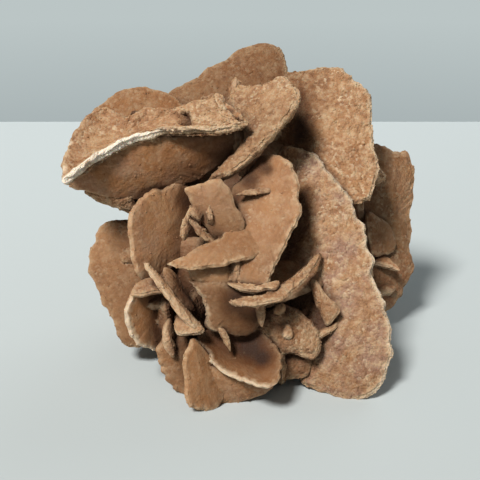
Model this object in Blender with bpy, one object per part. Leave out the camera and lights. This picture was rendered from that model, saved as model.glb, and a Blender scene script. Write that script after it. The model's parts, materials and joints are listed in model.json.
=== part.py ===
"""A gypsum sand rose: sandy lens-shaped gypsum crystals that grew through one another as one solid.

Metres, +Z up. The rose stands on small worn flats, with its front towards -Y.
Front blades are drawn as they look from one eye point, in millimetres on an upright sketch plane
through the middle of the rose, and each outline is then laid back along the lines of sight onto the
blade's own leaning plane. Blades that can't be seen from there are placed by centre and facing.
"""

import math
import random

import bmesh
import bpy
from mathutils import Matrix, Vector, noise

MM = 0.001
GOLDEN_SHARE = 0.618

# The eye point that the front blades are drawn from: its rise above the horizon and its distance.
EYE_RISE = math.radians(20)
EYE_AWAY = 240
# The sketch plane's middle, above the surface that the rose stands on.
SKETCH_HEIGHT = 42
# Moves the finished rose so that its origin is below the middle of its box.
TO_ORIGIN = (-4.4, -16.3)

SIGHT_RIGHT = Vector((1, 0, 0))
SIGHT_UP = Vector((0, math.sin(EYE_RISE), math.cos(EYE_RISE)))
SIGHT_NEAR = Vector((0, -math.cos(EYE_RISE), math.sin(EYE_RISE)))
SKETCH_MIDDLE = Vector((TO_ORIGIN[0], TO_ORIGIN[1], SKETCH_HEIGHT))

# The solid lump where all blades meet: centre, half sizes and how far its lumps stand out.
CORE_CENTRE = (3, 24, 43)
CORE_HALF_SIZES = (24, 16, 24)
CORE_LUMPS = 3.0
CORE_LUMP_DENSITY = 2.3

# A large blade's points around and the share of its radius that lies inside the bevelled border.
LARGE_AROUND = 14
PLACED_AROUND = 10
SMALL_AROUND = 7
BORDER_SHARE = 0.74
# How much of a blade's swelling is on its front face.
FRONT_SHARE = 0.25
# A placed blade's thickness at its edge, as a share of that at its middle.
PLACED_EDGE_SHARE = 0.42
# How close together the lumps on a blade's faces are, and how far apart two blades' lumps are drawn.
FACE_LUMP_DENSITY = 0.17
FACE_LUMP_STRIDE = 11.3
# A placed blade's outline: corners, then the (height, density) of its broad and its small lobes.
LOBED_CORNERS = 14
BROAD_LOBES = (0.16, 1.3)
SMALL_LOBES = (0.08, 3.1)
LOBE_STRIDE = 3.7

# Drawn blades: outline corners and middle on the sketch plane, then the middle's depth towards the
# eye, turn (right side away) and lean (top away) in degrees, thickness at the middle and at the
# edge, and bow, how far the rim stands towards the eye from a flat blade.
LARGE_DRAWN = {
    "tray top": dict(
        middle=(-35, 33), depth=4.8, turn=-10, lean=42, thick=6, edge=2.2, bow=0,
        outline=(
            (-51, 18.5), (-45, 22.8), (-38, 27), (-31, 30.2), (-22, 32.6), (-12, 32.6), (-2, 33.6), (3, 36),
            (-3, 41), (-12, 42), (-19, 39.5), (-24, 39.5), (-29, 40), (-34, 37.2), (-38, 39), (-44, 38.4),
            (-49, 34), (-52, 29), (-54, 22.5), (-53.8, 18),
        ),
    ),
    "tray underside": dict(
        middle=(-26, 23), depth=2, turn=15, lean=-25, thick=7, edge=2.4, bow=0,
        outline=(
            (-53.6, 18.6), (-48, 21), (-42, 25), (-33, 29.5), (-24, 31.6), (-12, 31.6), (-2, 32.4), (3, 31),
            (-2, 25.5), (-9, 19.5), (-16, 16), (-25, 12), (-31, 11.4), (-37, 11.6), (-45, 13.8), (-51, 15.4),
        ),
    ),
    "tray right": dict(
        middle=(7, 39), depth=1.2, turn=-37, lean=38, thick=6, edge=2.6, bow=0.5,
        outline=(
            (3, 25.6), (8, 30.4), (13, 36), (16.4, 41), (17.6, 44.4), (16, 47), (12.5, 50.2), (9, 48),
            (4, 47), (-1, 46.8), (-4, 43), (-4, 38), (0, 34), (0.6, 30),
        ),
    ),
    "tray right tail": dict(
        middle=(0, 26), depth=6.1, turn=-37, lean=38, thick=6, edge=2.4, bow=0.3,
        outline=((-10, 17.6), (-4, 20), (2, 24.6), (6.4, 28.8), (7, 33), (3, 32), (-1, 28), (-6, 22.4)),
    ),
    "tray crest": dict(
        middle=(-8, 38.5), depth=5, turn=-10, lean=40, thick=4, edge=1.6, bow=0,
        outline=(
            (-18.5, 39), (-15, 41.8), (-9, 43), (-7.5, 44.5), (-5, 43.6), (-3.4, 40), (0, 36.6), (2.4, 35),
            (-4, 34), (-12, 34.2), (-14.6, 35), (-15.4, 37.4),
        ),
    ),
    "back left": dict(
        middle=(-32, 40), depth=-13, turn=5, lean=25, thick=6, edge=2.6, bow=0,
        outline=(
            (-47, 36), (-42.5, 40.6), (-38, 44.4), (-34.5, 46), (-30, 46.7), (-26, 46), (-21, 44.4),
            (-16, 40), (-20, 34), (-30, 30), (-42, 31),
        ),
    ),
    "top middle": dict(
        middle=(-2, 48), depth=-23, turn=-8, lean=22, thick=7, edge=3, bow=0.8,
        outline=(
            (-22.5, 43), (-19.5, 46), (-14, 48.8), (-11, 51.6), (-5, 54.6), (-2, 57), (3, 58.9), (9, 59.2),
            (12.8, 57.4), (14.4, 52), (14, 44), (6, 38), (-6, 36), (-18, 38),
        ),
    ),
    "top right": dict(
        middle=(26, 32), depth=-14, turn=-12, lean=16, thick=6.5, edge=2.6, bow=0.8,
        outline=(
            (10, 50.4), (14.5, 51), (20, 51.7), (26, 52.2), (31, 51.3), (34.6, 48.6), (38, 45.8), (39.8, 42),
            (39.8, 33), (41.6, 25.5), (41.4, 20), (40, 14.5), (38, 11.6), (34, 10.6), (26, 12), (17, 18),
            (10, 27), (8, 40),
        ),
    ),
    "big right": dict(
        middle=(29, -9), depth=-1.5, turn=-16, lean=10, thick=8, edge=2.6, bow=0,
        outline=(
            (12, 28.6), (18, 27.8), (22.4, 26), (27, 21), (31.6, 15.6), (34, 11.4), (34.8, 7.6), (37.8, 5.6),
            (38.6, -1.6), (40.2, -5.6), (39.7, -9.6), (42, -14.4), (44.2, -20), (45.4, -26.6), (46.2, -34),
            (44.8, -38.4), (42.2, -44.2), (37.4, -47.6), (31, -48.2), (24.6, -46), (17.6, -42.6), (12, -36),
            (8.6, -20), (8, 0), (9.6, 18),
        ),
    ),
    "right rear": dict(
        middle=(41, 4), depth=-33, turn=18, lean=4, thick=8, edge=3.2, bow=-0.6,
        outline=(
            (36, 30), (43, 29.1), (46.4, 27.2), (51.2, 26.5), (53.2, 21), (52.8, 13), (51.5, 8), (52.1, 3),
            (51.6, -3), (52.8, -8), (51.4, -12.6), (48.4, -18), (44.6, -22), (36, -21), (28, -8),
            (26, 10), (29, 23),
        ),
    ),
    "left centre": dict(
        middle=(-22.5, 2), depth=1, turn=39, lean=4, thick=5.5, edge=2.2, bow=1,
        outline=(
            (-23, 15.8), (-27, 15.2), (-30.2, 12.4), (-32.8, 9.4), (-33.4, 5), (-33, -2.6), (-32.4, -6.6),
            (-31, -10.2), (-28, -12.6), (-22, -10), (-14, -4), (-11, 5), (-13, 14), (-18, 18),
        ),
    ),
    "left rear": dict(
        middle=(-35, -12), depth=-11, turn=-8, lean=4, thick=7, edge=2.8, bow=0,
        outline=(
            (-29, 8), (-33.6, 6.8), (-39, 6.4), (-42.4, 4.2), (-44.4, 0), (-45.9, -5.4), (-45.8, -10),
            (-43.6, -15), (-42, -19), (-39.6, -23), (-37.6, -27.4), (-35.2, -31.2), (-30, -32.6), (-25, -28),
            (-22, -14), (-23, 0),
        ),
    ),
    "lower left cup": dict(
        middle=(-27, -23), depth=5.5, turn=42, lean=-6, thick=4.5, edge=1.8, bow=1.6,
        outline=(
            (-26, -12.2), (-30.6, -13.5), (-32.8, -16), (-34.2, -19.6), (-34.5, -22), (-33.8, -26.6),
            (-32.6, -29.8), (-30, -31.8), (-26.5, -33.2), (-22, -33), (-19, -29), (-19, -21), (-21.5, -14),
        ),
    ),
    "bottom left": dict(
        middle=(-17, -38), depth=5, turn=10, lean=-12, thick=6, edge=2.4, bow=0,
        outline=(
            (-25, -32), (-24.6, -36), (-23.6, -40), (-21.4, -43.4), (-18, -46.8), (-14, -48), (-9, -44),
            (-8, -34), (-14, -29), (-21, -28.5),
        ),
    ),
    "bottom front": dict(
        middle=(-11.5, -41), depth=13, turn=32, lean=-2, thick=4.4, edge=2, bow=0.6,
        outline=(
            (-14.6, -30), (-16.6, -35), (-16.9, -39), (-16.3, -44), (-16.3, -49), (-14, -51), (-10, -51.4),
            (-6, -50), (-4, -45), (-5, -39), (-9, -33.5), (-12, -30),
        ),
    ),
    "bottom base": dict(
        middle=(0, -44), depth=9.5, turn=0, lean=-24, thick=7, edge=3, bow=0,
        outline=(
            (-13, -38), (-4, -38), (6, -39), (12, -41), (10, -45.4), (5, -48), (0, -49.4),
            (-6, -50.6), (-11, -50),
        ),
    ),
    "bottom cup": dict(
        middle=(1.5, -36), depth=10.5, turn=0, lean=42, thick=4, edge=1.7, bow=4.5,
        outline=(
            (-13, -31), (-11, -34), (-8.4, -37.8), (-5, -40.4), (-1, -42.2), (3, -43.6), (6.4, -45.3),
            (9.4, -45.7), (11.6, -43.4), (12.8, -37), (11.6, -32.6), (8, -29), (3, -27),
            (-5, -27), (-10, -28.6),
        ),
    ),
    "centre plate": dict(
        middle=(7, 5), depth=10, turn=-11, lean=19, thick=4.5, edge=1.8, bow=0,
        outline=(
            (12.6, 25.6), (15.6, 23), (18.2, 17), (17.8, 14), (19.1, 9.8), (17.6, 5.4),
            (14, -1), (11.2, -6.4),
            (9.4, -11), (7.6, -14), (1, -13.6), (-5, -11), (-7, 0), (-5, 12), (1, 20), (7, 26),
        ),
    ),
    "front petal": dict(
        middle=(-6, -2.4), depth=14, turn=8, lean=38, thick=5.4, edge=1.2, bow=0,
        outline=(
            (-22.2, -6.8), (-18, -8.3), (-12, -8.6), (-5, -7.6), (1, -6), (6.5, -4), (9, -1), (6, 6),
            (0, 6.4), (-7, 0.8), (-12, -1.2), (-17, -4.6),
        ),
    ),
    "front block": dict(
        middle=(-3.5, -21), depth=12.4, turn=9, lean=-14, thick=7, edge=2.2, bow=0,
        outline=(
            (-15.6, -12.4), (-11, -12.6), (-4, -13), (3, -14.6), (6.4, -19), (6.6, -25),
            (4, -28.6), (0, -29.6),
            (-4, -28.8), (-9, -27.6), (-10.8, -26), (-10.6, -22.6), (-11.6, -18), (-13.4, -14.8),
        ),
    ),
    "lower middle": dict(
        middle=(14.5, -28), depth=6.5, turn=0, lean=6, thick=7, edge=1.8, bow=0,
        outline=(
            (2, -26), (5, -21.4), (10, -19.4), (16, -20.4), (21, -23.6), (24, -27),
            (24.4, -32), (22.6, -35.6),
            (20.2, -35.9), (16, -34.6), (12, -34.2), (8.6, -30), (5, -27.6),
        ),
    ),
    "upper front": dict(
        middle=(-8, 11), depth=11, turn=-8, lean=-13, thick=5, edge=1.2, bow=0,
        outline=(
            (-17, 15.4), (-13, 17), (-7, 18.4), (-5.4, 17.6), (-2.6, 14), (-1.4, 10.4), (1, 7), (1, 3),
            (-2, 0), (-7, 0), (-10.4, 3.4), (-13.8, 8.4), (-15.8, 12),
        ),
    ),
    "ribbon left": dict(
        middle=(6, -17.3), depth=18.7, turn=0, lean=55, thick=2.8, edge=1.6, bow=0,
        outline=(
            (-3.6, -17.8), (0, -16.8), (5, -16.4), (9, -15.2), (13, -13), (15, -15.4), (12, -17.6),
            (6, -18.8), (1.4, -19), (-2, -18.6),
        ),
    ),
    "ribbon right": dict(
        middle=(16, -12), depth=11.3, turn=0, lean=55, thick=2.8, edge=1.6, bow=0,
        outline=(
            (9.5, -16.4), (11, -13.6), (13.5, -12), (19.5, -7.4), (23.8, -3.2), (24.4, -4.8), (20.4, -10.6),
            (16, -14.8), (12.5, -17),
        ),
    ),
}

SMALL_DRAWN = {
    "tray lower lip": dict(
        middle=(-38.5, 12), depth=-1, turn=0, lean=-30, thick=4, edge=1.4, bow=0,
        outline=(
            (-47, 14.3), (-44.5, 12.2), (-41, 10.4), (-36, 9), (-31, 9), (-33, 13), (-38, 14.8), (-43, 15.4),
        ),
    ),
    "tray root": dict(
        middle=(-31, 12), depth=-5, turn=0, lean=-10, thick=6, edge=3, bow=0,
        outline=((-37, 10), (-36, 15), (-30, 18), (-24, 16), (-24, 10), (-29, 7.5), (-34, 7.8)),
    ),
    "left rear patch": dict(
        middle=(-33.6, -5), depth=-9, turn=-8, lean=4, thick=3.4, edge=2.6, bow=0,
        outline=((-35.6, -3.4), (-32, -2.8), (-30, -5), (-32, -7), (-35.8, -6.8)),
    ),
    "rear rosette disc": dict(
        middle=(42, 1.5), depth=-28.5, turn=30, lean=0, thick=4.5, edge=1.4, bow=0,
        outline=((38, 8), (42, 7), (45, 4.6), (47, 1), (46.8, -3), (44, -5), (39, -4)),
    ),
    "rear rosette upper leaf": dict(
        middle=(43.4, -6), depth=-29.5, turn=-10, lean=50, thick=4, edge=1, bow=0,
        outline=((38.6, -3.4), (43.5, -4.2), (48.2, -8.6), (45.6, -8.4), (42, -7.4), (38.6, -6.6)),
    ),
    "rear rosette lower leaf": dict(
        middle=(43, -14.4), depth=-31, turn=0, lean=55, thick=4, edge=1, bow=0,
        outline=((39, -12.8), (43, -12.8), (47, -14.2), (44, -15.8), (40, -15.6)),
    ),
    "under petal": dict(
        middle=(-8.6, -10), depth=13.2, turn=12, lean=4, thick=7.5, edge=1.6, bow=0,
        outline=((-15.8, -7), (-15.4, -11), (-12, -13.4), (-3, -14), (-1.6, -8), (-4, -4), (-12, -4)),
    ),
    "under petal fin": dict(
        middle=(-1.9, -9.8), depth=13.4, turn=-40, lean=0, thick=3.4, edge=1, bow=0,
        outline=((-2.8, -4), (-0.8, -4), (-0.8, -12), (-2.8, -12.8)),
    ),
    "upper lip": dict(
        middle=(4, -13.8), depth=16.6, turn=0, lean=48, thick=2.2, edge=1.2, bow=0,
        outline=(
            (-4.4, -12.4), (0, -12.4), (5, -13), (8, -12.4), (12, -12), (11, -14.4), (8, -14.6),
            (5, -15.2), (0, -14.6),
        ),
    ),
    "arrow leaf": dict(
        middle=(25, -19), depth=4, turn=-26, lean=2, thick=6, edge=1.2, bow=0,
        outline=(
            (20.8, -12), (22.6, -12.2), (25.5, -16.3), (29.5, -20.4), (29, -23), (26, -26),
            (24, -23), (22, -18.2),
        ),
    ),
    "arrow barb": dict(
        middle=(25, -27.3), depth=4.5, turn=-10, lean=45, thick=4, edge=1.2, bow=0,
        outline=(
            (30.7, -22.7), (29.6, -25.2), (26.7, -27.7), (23, -29.8), (19.2, -31.6), (20.4, -28.8),
            (24.6, -26), (28, -24.2),
        ),
    ),
    "hollow block": dict(
        middle=(16, -38.4), depth=3, turn=0, lean=-6, thick=7, edge=4, bow=0,
        outline=((11, -34), (16, -33.6), (21.4, -34.6), (21.6, -39), (20, -41.6), (15, -42.4), (11, -42)),
    ),
    "lower middle bump": dict(
        middle=(14.4, -27.4), depth=8.6, turn=0, lean=6, thick=2.6, edge=1.2, bow=0,
        outline=((13.6, -25.2), (15.4, -25.6), (16.2, -28.6), (14.4, -30), (12.6, -28.6)),
    ),
    "vertical fin": dict(
        middle=(5.6, -22), depth=12.6, turn=-36, lean=-14, thick=3.6, edge=1, bow=0,
        outline=((4.6, -18), (6.6, -18.4), (7, -23), (6.4, -26.4), (4.8, -24)),
    ),
    "pale block": dict(
        middle=(12, -20.4), depth=7.6, turn=0, lean=20, thick=4, edge=2.4, bow=0,
        outline=((10, -19.4), (13.2, -18.6), (13.8, -20.8), (12, -22.2), (10.2, -21.8)),
    ),
    "hanging spike": dict(
        middle=(-4.8, -29.4), depth=12.4, turn=-20, lean=-12, thick=3, edge=1.2, bow=0,
        outline=((-7, -26.6), (-5, -26.8), (-3.4, -30), (-3, -33.8), (-4.4, -32), (-6, -29)),
    ),
    "diagonal spine": dict(
        middle=(-19.6, -17), depth=13.5, turn=50, lean=46, thick=4, edge=1.4, bow=0,
        outline=(
            (-28.4, -6.6), (-26, -8), (-22, -12.6), (-18, -18), (-14, -22.4), (-10.4, -26.4), (-13, -26.4),
            (-17, -23), (-21, -17.6), (-25, -12),
        ),
    ),
    "diagonal second": dict(
        middle=(-18.2, -14), depth=7.4, turn=50, lean=40, thick=5, edge=1, bow=0,
        outline=((-22.8, -8.4), (-20, -9), (-15.4, -16), (-13, -20.6), (-16, -20.4), (-21.6, -15.4)),
    ),
    "spine foot": dict(
        middle=(-15.6, -26), depth=13.5, turn=0, lean=18, thick=5, edge=1.6, bow=0,
        outline=((-20, -24.4), (-17, -21.6), (-13.4, -23.8), (-10.6, -26.8), (-13, -28.2), (-18.6, -28.4)),
    ),
    "curled leaf": dict(
        middle=(-21.2, -29), depth=10, turn=36, lean=0, thick=5, edge=1.2, bow=0,
        outline=(
            (-21.8, -24), (-20.2, -23.6), (-19.6, -28), (-19, -34.6), (-20, -35.4), (-22, -33), (-22.9, -29),
        ),
    ),
    "cup spike": dict(
        middle=(-23.8, -18), depth=6, turn=10, lean=44, thick=4.4, edge=1.2, bow=0,
        outline=((-27.8, -19.8), (-26, -16.4), (-23, -15.6), (-20, -16.6), (-20, -19.4)),
    ),
    "cup bit": dict(
        middle=(-24, -23.7), depth=4.2, turn=10, lean=30, thick=2.4, edge=1.2, bow=0,
        outline=((-27, -23.2), (-24, -22.4), (-20.6, -23), (-20.6, -24.8), (-25, -24.8)),
    ),
    "cup crest": dict(
        middle=(-27.4, -13.6), depth=12, turn=10, lean=45, thick=3.4, edge=1.6, bow=0,
        outline=(
            (-33, -15.8), (-31, -12.4), (-27, -10.8), (-22, -12), (-22, -15), (-26, -15.4), (-30, -16.4),
        ),
    ),
    "left leaf": dict(
        middle=(-16.2, 4.6), depth=12, turn=24, lean=0, thick=4, edge=1, bow=0,
        outline=((-14.4, 10.4), (-16, 8), (-17.6, 4), (-17.8, 1.6), (-16.6, -0.4), (-15, 2), (-14.4, 6)),
    ),
    "thin upper leaf": dict(
        middle=(-13, 7.4), depth=12, turn=46, lean=40, thick=3, edge=0.8, bow=0,
        outline=((-14.8, 8.8), (-13.4, 11), (-10.4, 9), (-11.4, 6.4), (-12.2, 5.8)),
    ),
    "thin lower leaf": dict(
        middle=(-11.2, 2.8), depth=13, turn=46, lean=42, thick=2.4, edge=0.8, bow=0,
        outline=((-15.2, 6.6), (-13.6, 6.2), (-10, 2.6), (-7, 0), (-8, -1), (-11, 0.8), (-13.4, 3.8)),
    ),
    "shadow sliver": dict(
        middle=(3.6, 14.8), depth=8.6, turn=0, lean=60, thick=1.6, edge=0.8, bow=0,
        outline=((-1.4, 14), (3, 15.4), (8.6, 15.8), (8.6, 14.6), (3, 14)),
    ),
}

# Placed blades: middle on the sketch plane and depth, the way that the blade faces (compass angle
# from +X and rise, degrees), roll, half length and half width, and thickness, in millimetres. The
# stems are the plainer ones deep in the rose that the front blades grew from.
STEMS = {
    "stem shelf": ((4, -6), -7, (270, 72), 0, 22, 20, 7),
    "stem keel": ((5, -6), -12, (4, 4), 90, 26, 20, 7),
    "stem left": ((-17, -13), -4, (248, 6), 0, 17, 15, 6),
    "stem lower left": ((-20.5, -20), -2, (4, 4), 90, 12, 11, 5),
    "stem upper": ((3, 28), -14, (350, 8), 90, 16, 15, 6),
    "stem front": ((-7, 10), 2, (356, 4), 0, 12, 6, 4),
}

PLACED = {
    "back upper": ((2, 30), -40, (85, 22), 0, 26, 20, 7),
    "back right": ((22, 12), -42, (48, 2), 80, 27, 22, 7),
    "back corner": ((-17, 18), -36, (128, 6), 70, 23, 20, 7),
    "back shelf": ((4, 4), -45, (70, 58), 25, 28, 23, 7),
    "back fin": ((-12, -6), -44, (140, 28), 60, 22, 16, 6),
    "back lower": ((8, -18), -40, (92, -26), 10, 27, 19, 7),
    "back foot left": ((-9, -15), -34, (18, 4), 90, 23, 18, 7),
    "back foot right": ((22, -14), -34, (158, 6), 90, 22, 17, 7),
    "left lower": ((-29, -8), -24, (196, 8), 90, 21, 18, 6.5),
    "left upper": ((-33, 23), -20, (190, 58), 20, 19, 15, 6.5),
    "left middle": ((-22, 20), -26, (165, -20), 60, 20, 16, 6.5),
    "right lower": ((33, -20), -16, (342, -8), 90, 22, 16, 6.5),
    "right middle": ((33, 4), -22, (12, 18), 80, 20, 16, 6.5),
    "right upper": ((29, 27), -28, (30, 55), 20, 20, 15, 6.5),
    "top fin left": ((-5, 34), -32, (182, 10), 90, 18, 16, 6),
    "top fin right": ((13, 34), -34, (28, 26), 30, 19, 15, 6),
    "under shelf": ((4, -29), -13, (270, -76), 0, 27, 16, 7),
    "under keel": ((12, -29), -12, (2, 4), 90, 14, 20, 6),
    "under fin": ((-12, -28), -7, (150, -8), 80, 17, 14, 6),
}

# Faces of the fused skin that are this near to one plane are merged.
FLAT_ENOUGH = math.radians(1.5)

# Small crystals that stand on the back: how many, how far out from the core's surface, half lengths,
# width as a share of length, thickness, and how far each leans out from edge-on.
SPROUTS = 9
SPROUT_OUT = 7
SPROUT_HALF_LENGTHS = (9, 14)
SPROUT_WIDTH_SHARE = 0.72
SPROUT_THICK = 3.6
SPROUT_LEAN_OUT = 0.35
SPROUT_SEED = 40
# The compass angle from +X and the rise that they start at, and how far they spread, in degrees.
SPROUT_COMPASS = (-15, 210)
SPROUT_RISE = (-35, 105)

# The block that cuts the worn flats.
GROUND_SIZE = 300

GYPSUM_COLOUR = (0.47, 0.30, 0.19, 1)
GYPSUM_ROUGHNESS = 0.85


def clear_scene():
    for thing in list(bpy.data.objects):
        bpy.data.objects.remove(thing, do_unlink=True)


def smooth_closed(corners, count):
    """count points, evenly spaced, on a closed smooth curve through the corners."""
    steps = 12
    dense = []
    for i in range(len(corners)):
        before, start, end, after = (Vector(corners[(i + k) % len(corners)]) for k in (-1, 0, 1, 2))
        for step in range(steps):
            f = step / steps
            dense.append(
                0.5
                * (
                    2 * start
                    + (end - before) * f
                    + (2 * before - 5 * start + 4 * end - after) * f**2
                    + (3 * start - before - 3 * end + after) * f**3
                )
            )
    lengths = [(dense[(i + 1) % len(dense)] - dense[i]).length for i in range(len(dense))]
    pitch = sum(lengths) / count
    points = []
    walked = 0.0
    for point, length in zip(dense, lengths):
        if len(points) < count and walked >= len(points) * pitch - 1e-9:
            points.append(point)
        walked += length
    return points


def drawn_frame(middle, depth, turn, lean):
    """A matrix whose X and Y lie in the blade and whose Z points to the eye's side, at the middle."""
    facing = (
        SIGHT_NEAR + math.tan(math.radians(turn)) * SIGHT_RIGHT + math.tan(math.radians(lean)) * SIGHT_UP
    ).normalized()
    across = SIGHT_RIGHT - SIGHT_RIGHT.dot(facing) * facing
    across.normalize()
    axes = Matrix((across, facing.cross(across), facing)).transposed()
    return Matrix.Translation(sketch_place(middle, depth)) @ axes.to_4x4()


def laid_back(corner, frame):
    """The corner of a drawn outline, moved along its line of sight into the blade's plane."""
    eye = SKETCH_MIDDLE + EYE_AWAY * SIGHT_NEAR
    ray = SKETCH_MIDDLE + corner[0] * SIGHT_RIGHT + corner[1] * SIGHT_UP - eye
    facing = frame.col[2].to_3d()
    hit = eye + ray * ((frame.translation - eye).dot(facing) / ray.dot(facing))
    local = frame.inverted() @ hit
    return (local.x, local.y)


def sketch_place(middle, depth):
    """The point that shows at this place on the sketch plane, at this depth towards the eye."""
    scale = 1 - depth / EYE_AWAY
    return SKETCH_MIDDLE + scale * (middle[0] * SIGHT_RIGHT + middle[1] * SIGHT_UP) + depth * SIGHT_NEAR


def placed_frame(middle, depth, facing, roll):
    compass, rise = (math.radians(angle) for angle in facing)
    normal = Vector((math.cos(compass) * math.cos(rise), math.sin(compass) * math.cos(rise), math.sin(rise)))
    turned = normal.to_track_quat("Z", "Y").to_matrix() @ Matrix.Rotation(math.radians(roll), 3, "Z")
    return Matrix.Translation(sketch_place(middle, depth)) @ turned.to_4x4()


def sprout_place(i):
    """Frame and half length of one of the small crystals, spread over the back and the flanks."""
    chance = random.Random(i + SPROUT_SEED)
    compass = math.radians(SPROUT_COMPASS[0] + SPROUT_COMPASS[1] * ((i * GOLDEN_SHARE) % 1))
    rise = math.radians(SPROUT_RISE[0] + SPROUT_RISE[1] * (i + 0.5) / SPROUTS)
    outward = Vector((math.cos(compass) * math.cos(rise), math.sin(compass) * math.cos(rise), math.sin(rise)))
    shell = [half + SPROUT_OUT for half in CORE_HALF_SIZES]
    place = Vector(CORE_CENTRE) + Vector((*TO_ORIGIN, 0)) + Vector([outward[k] * shell[k] for k in range(3)])
    side = outward.orthogonal().normalized()
    facing = Matrix.Rotation(chance.uniform(0, math.tau), 3, outward) @ (side + SPROUT_LEAN_OUT * outward)
    turned = facing.to_track_quat("Z", "Y").to_matrix() @ Matrix.Rotation(chance.uniform(0, math.tau), 3, "Z")
    return Matrix.Translation(place) @ turned.to_4x4(), chance.uniform(*SPROUT_HALF_LENGTHS)


def lobed_outline(half_length, half_width, seed):
    """Corners of a rounded outline with a few broad lobes."""
    corners = []
    for i in range(LOBED_CORNERS):
        angle = math.tau * i / LOBED_CORNERS
        round_part = Vector((math.cos(angle), math.sin(angle), seed * LOBE_STRIDE))
        lobes = (height * noise.noise(density * round_part) for height, density in (BROAD_LOBES, SMALL_LOBES))
        swell = 1 + sum(lobes)
        corners.append((half_length * swell * math.cos(angle), half_width * swell * math.sin(angle)))
    return corners


def blade_solid(frame, outline, thick, edge, bow, around, border_share, both_borders, seed):
    """A bmesh of one lens-shaped blade, in millimetres: a flat edge, a bevelled border, a flat middle."""
    rim = smooth_closed(outline, around)
    reach = max(point.length for point in rim)
    solid = bmesh.new()

    def ring(share, height_here, roughness):
        verts = []
        for point in rim:
            flat = point * share
            spot = Vector((flat.x, flat.y, seed * FACE_LUMP_STRIDE + height_here))
            lump = roughness * noise.noise(spot * FACE_LUMP_DENSITY)
            height = height_here + bow * (flat.length / reach) ** 2 + lump
            verts.append(solid.verts.new(frame @ Vector((flat.x, flat.y, height))))
        return verts

    def bridge(first, second):
        for i in range(around):
            k = (i + 1) % around
            solid.faces.new((first[i], first[k], second[k]))
            solid.faces.new((first[i], second[k], second[i]))

    def cap(verts, height, upward):
        tip = solid.verts.new(frame @ Vector((0, 0, height)))
        for i in range(around):
            k = (i + 1) % around
            solid.faces.new((verts[i], verts[k], tip) if upward else (verts[k], verts[i], tip))

    front_rise = FRONT_SHARE * (thick - edge)
    under_edge = ring(1, -edge, 0)
    over_edge = ring(1, 0, 0)
    bridge(under_edge, over_edge)
    if border_share:
        over = ring(border_share, front_rise, 1.0)
        bridge(over_edge, over)
        cap(over, front_rise, True)
    else:
        cap(over_edge, front_rise, True)
    if both_borders:
        under = ring(border_share, front_rise - thick, 1.0)
        bridge(under, under_edge)
        cap(under, front_rise - thick, False)
    else:
        cap(under_edge, front_rise - thick, False)
    bmesh.ops.recalc_face_normals(solid, faces=solid.faces)
    return solid


def object_of(name, solid, home):
    """Turns a bmesh in millimetres into an object in metres."""
    bmesh.ops.scale(solid, vec=(MM, MM, MM), verts=solid.verts)
    mesh = bpy.data.meshes.new(name)
    solid.to_mesh(mesh)
    solid.free()
    thing = bpy.data.objects.new(name, mesh)
    home.objects.link(thing)
    return thing


def core_solid():
    solid = bmesh.new()
    bmesh.ops.create_icosphere(solid, subdivisions=2, radius=1)
    for vert in solid.verts:
        lump = 1 + CORE_LUMPS / CORE_HALF_SIZES[1] * noise.noise(vert.co * CORE_LUMP_DENSITY)
        vert.co = Vector((vert.co[i] * CORE_HALF_SIZES[i] * lump + CORE_CENTRE[i] for i in range(3)))
        vert.co += Vector((*TO_ORIGIN, 0))
    return solid


def keep_outer_skin(thing):
    """Applies the modifiers and fills every sealed hollow: only the largest closed skin is kept."""
    shaped = thing.evaluated_get(bpy.context.evaluated_depsgraph_get())
    skin = bmesh.new()
    skin.from_mesh(shaped.data)
    thing.modifiers.clear()
    waiting = set(skin.verts)
    islands = []
    while waiting:
        front = [waiting.pop()]
        island = list(front)
        while front:
            near = {edge.other_vert(vert) for vert in front for edge in vert.link_edges} & waiting
            waiting -= near
            front = list(near)
            island += front
        islands.append(island)
    largest = max(islands, key=len)
    bmesh.ops.delete(skin, geom=[vert for island in islands if island is not largest for vert in island])
    bmesh.ops.dissolve_limit(
        skin, angle_limit=FLAT_ENOUGH, use_dissolve_boundaries=False, verts=skin.verts, edges=skin.edges
    )
    bmesh.ops.triangulate(skin, faces=skin.faces)
    skin.to_mesh(thing.data)
    skin.free()


def as_cutter(thing):
    thing.hide_render = True
    thing.display_type = "WIRE"


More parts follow.
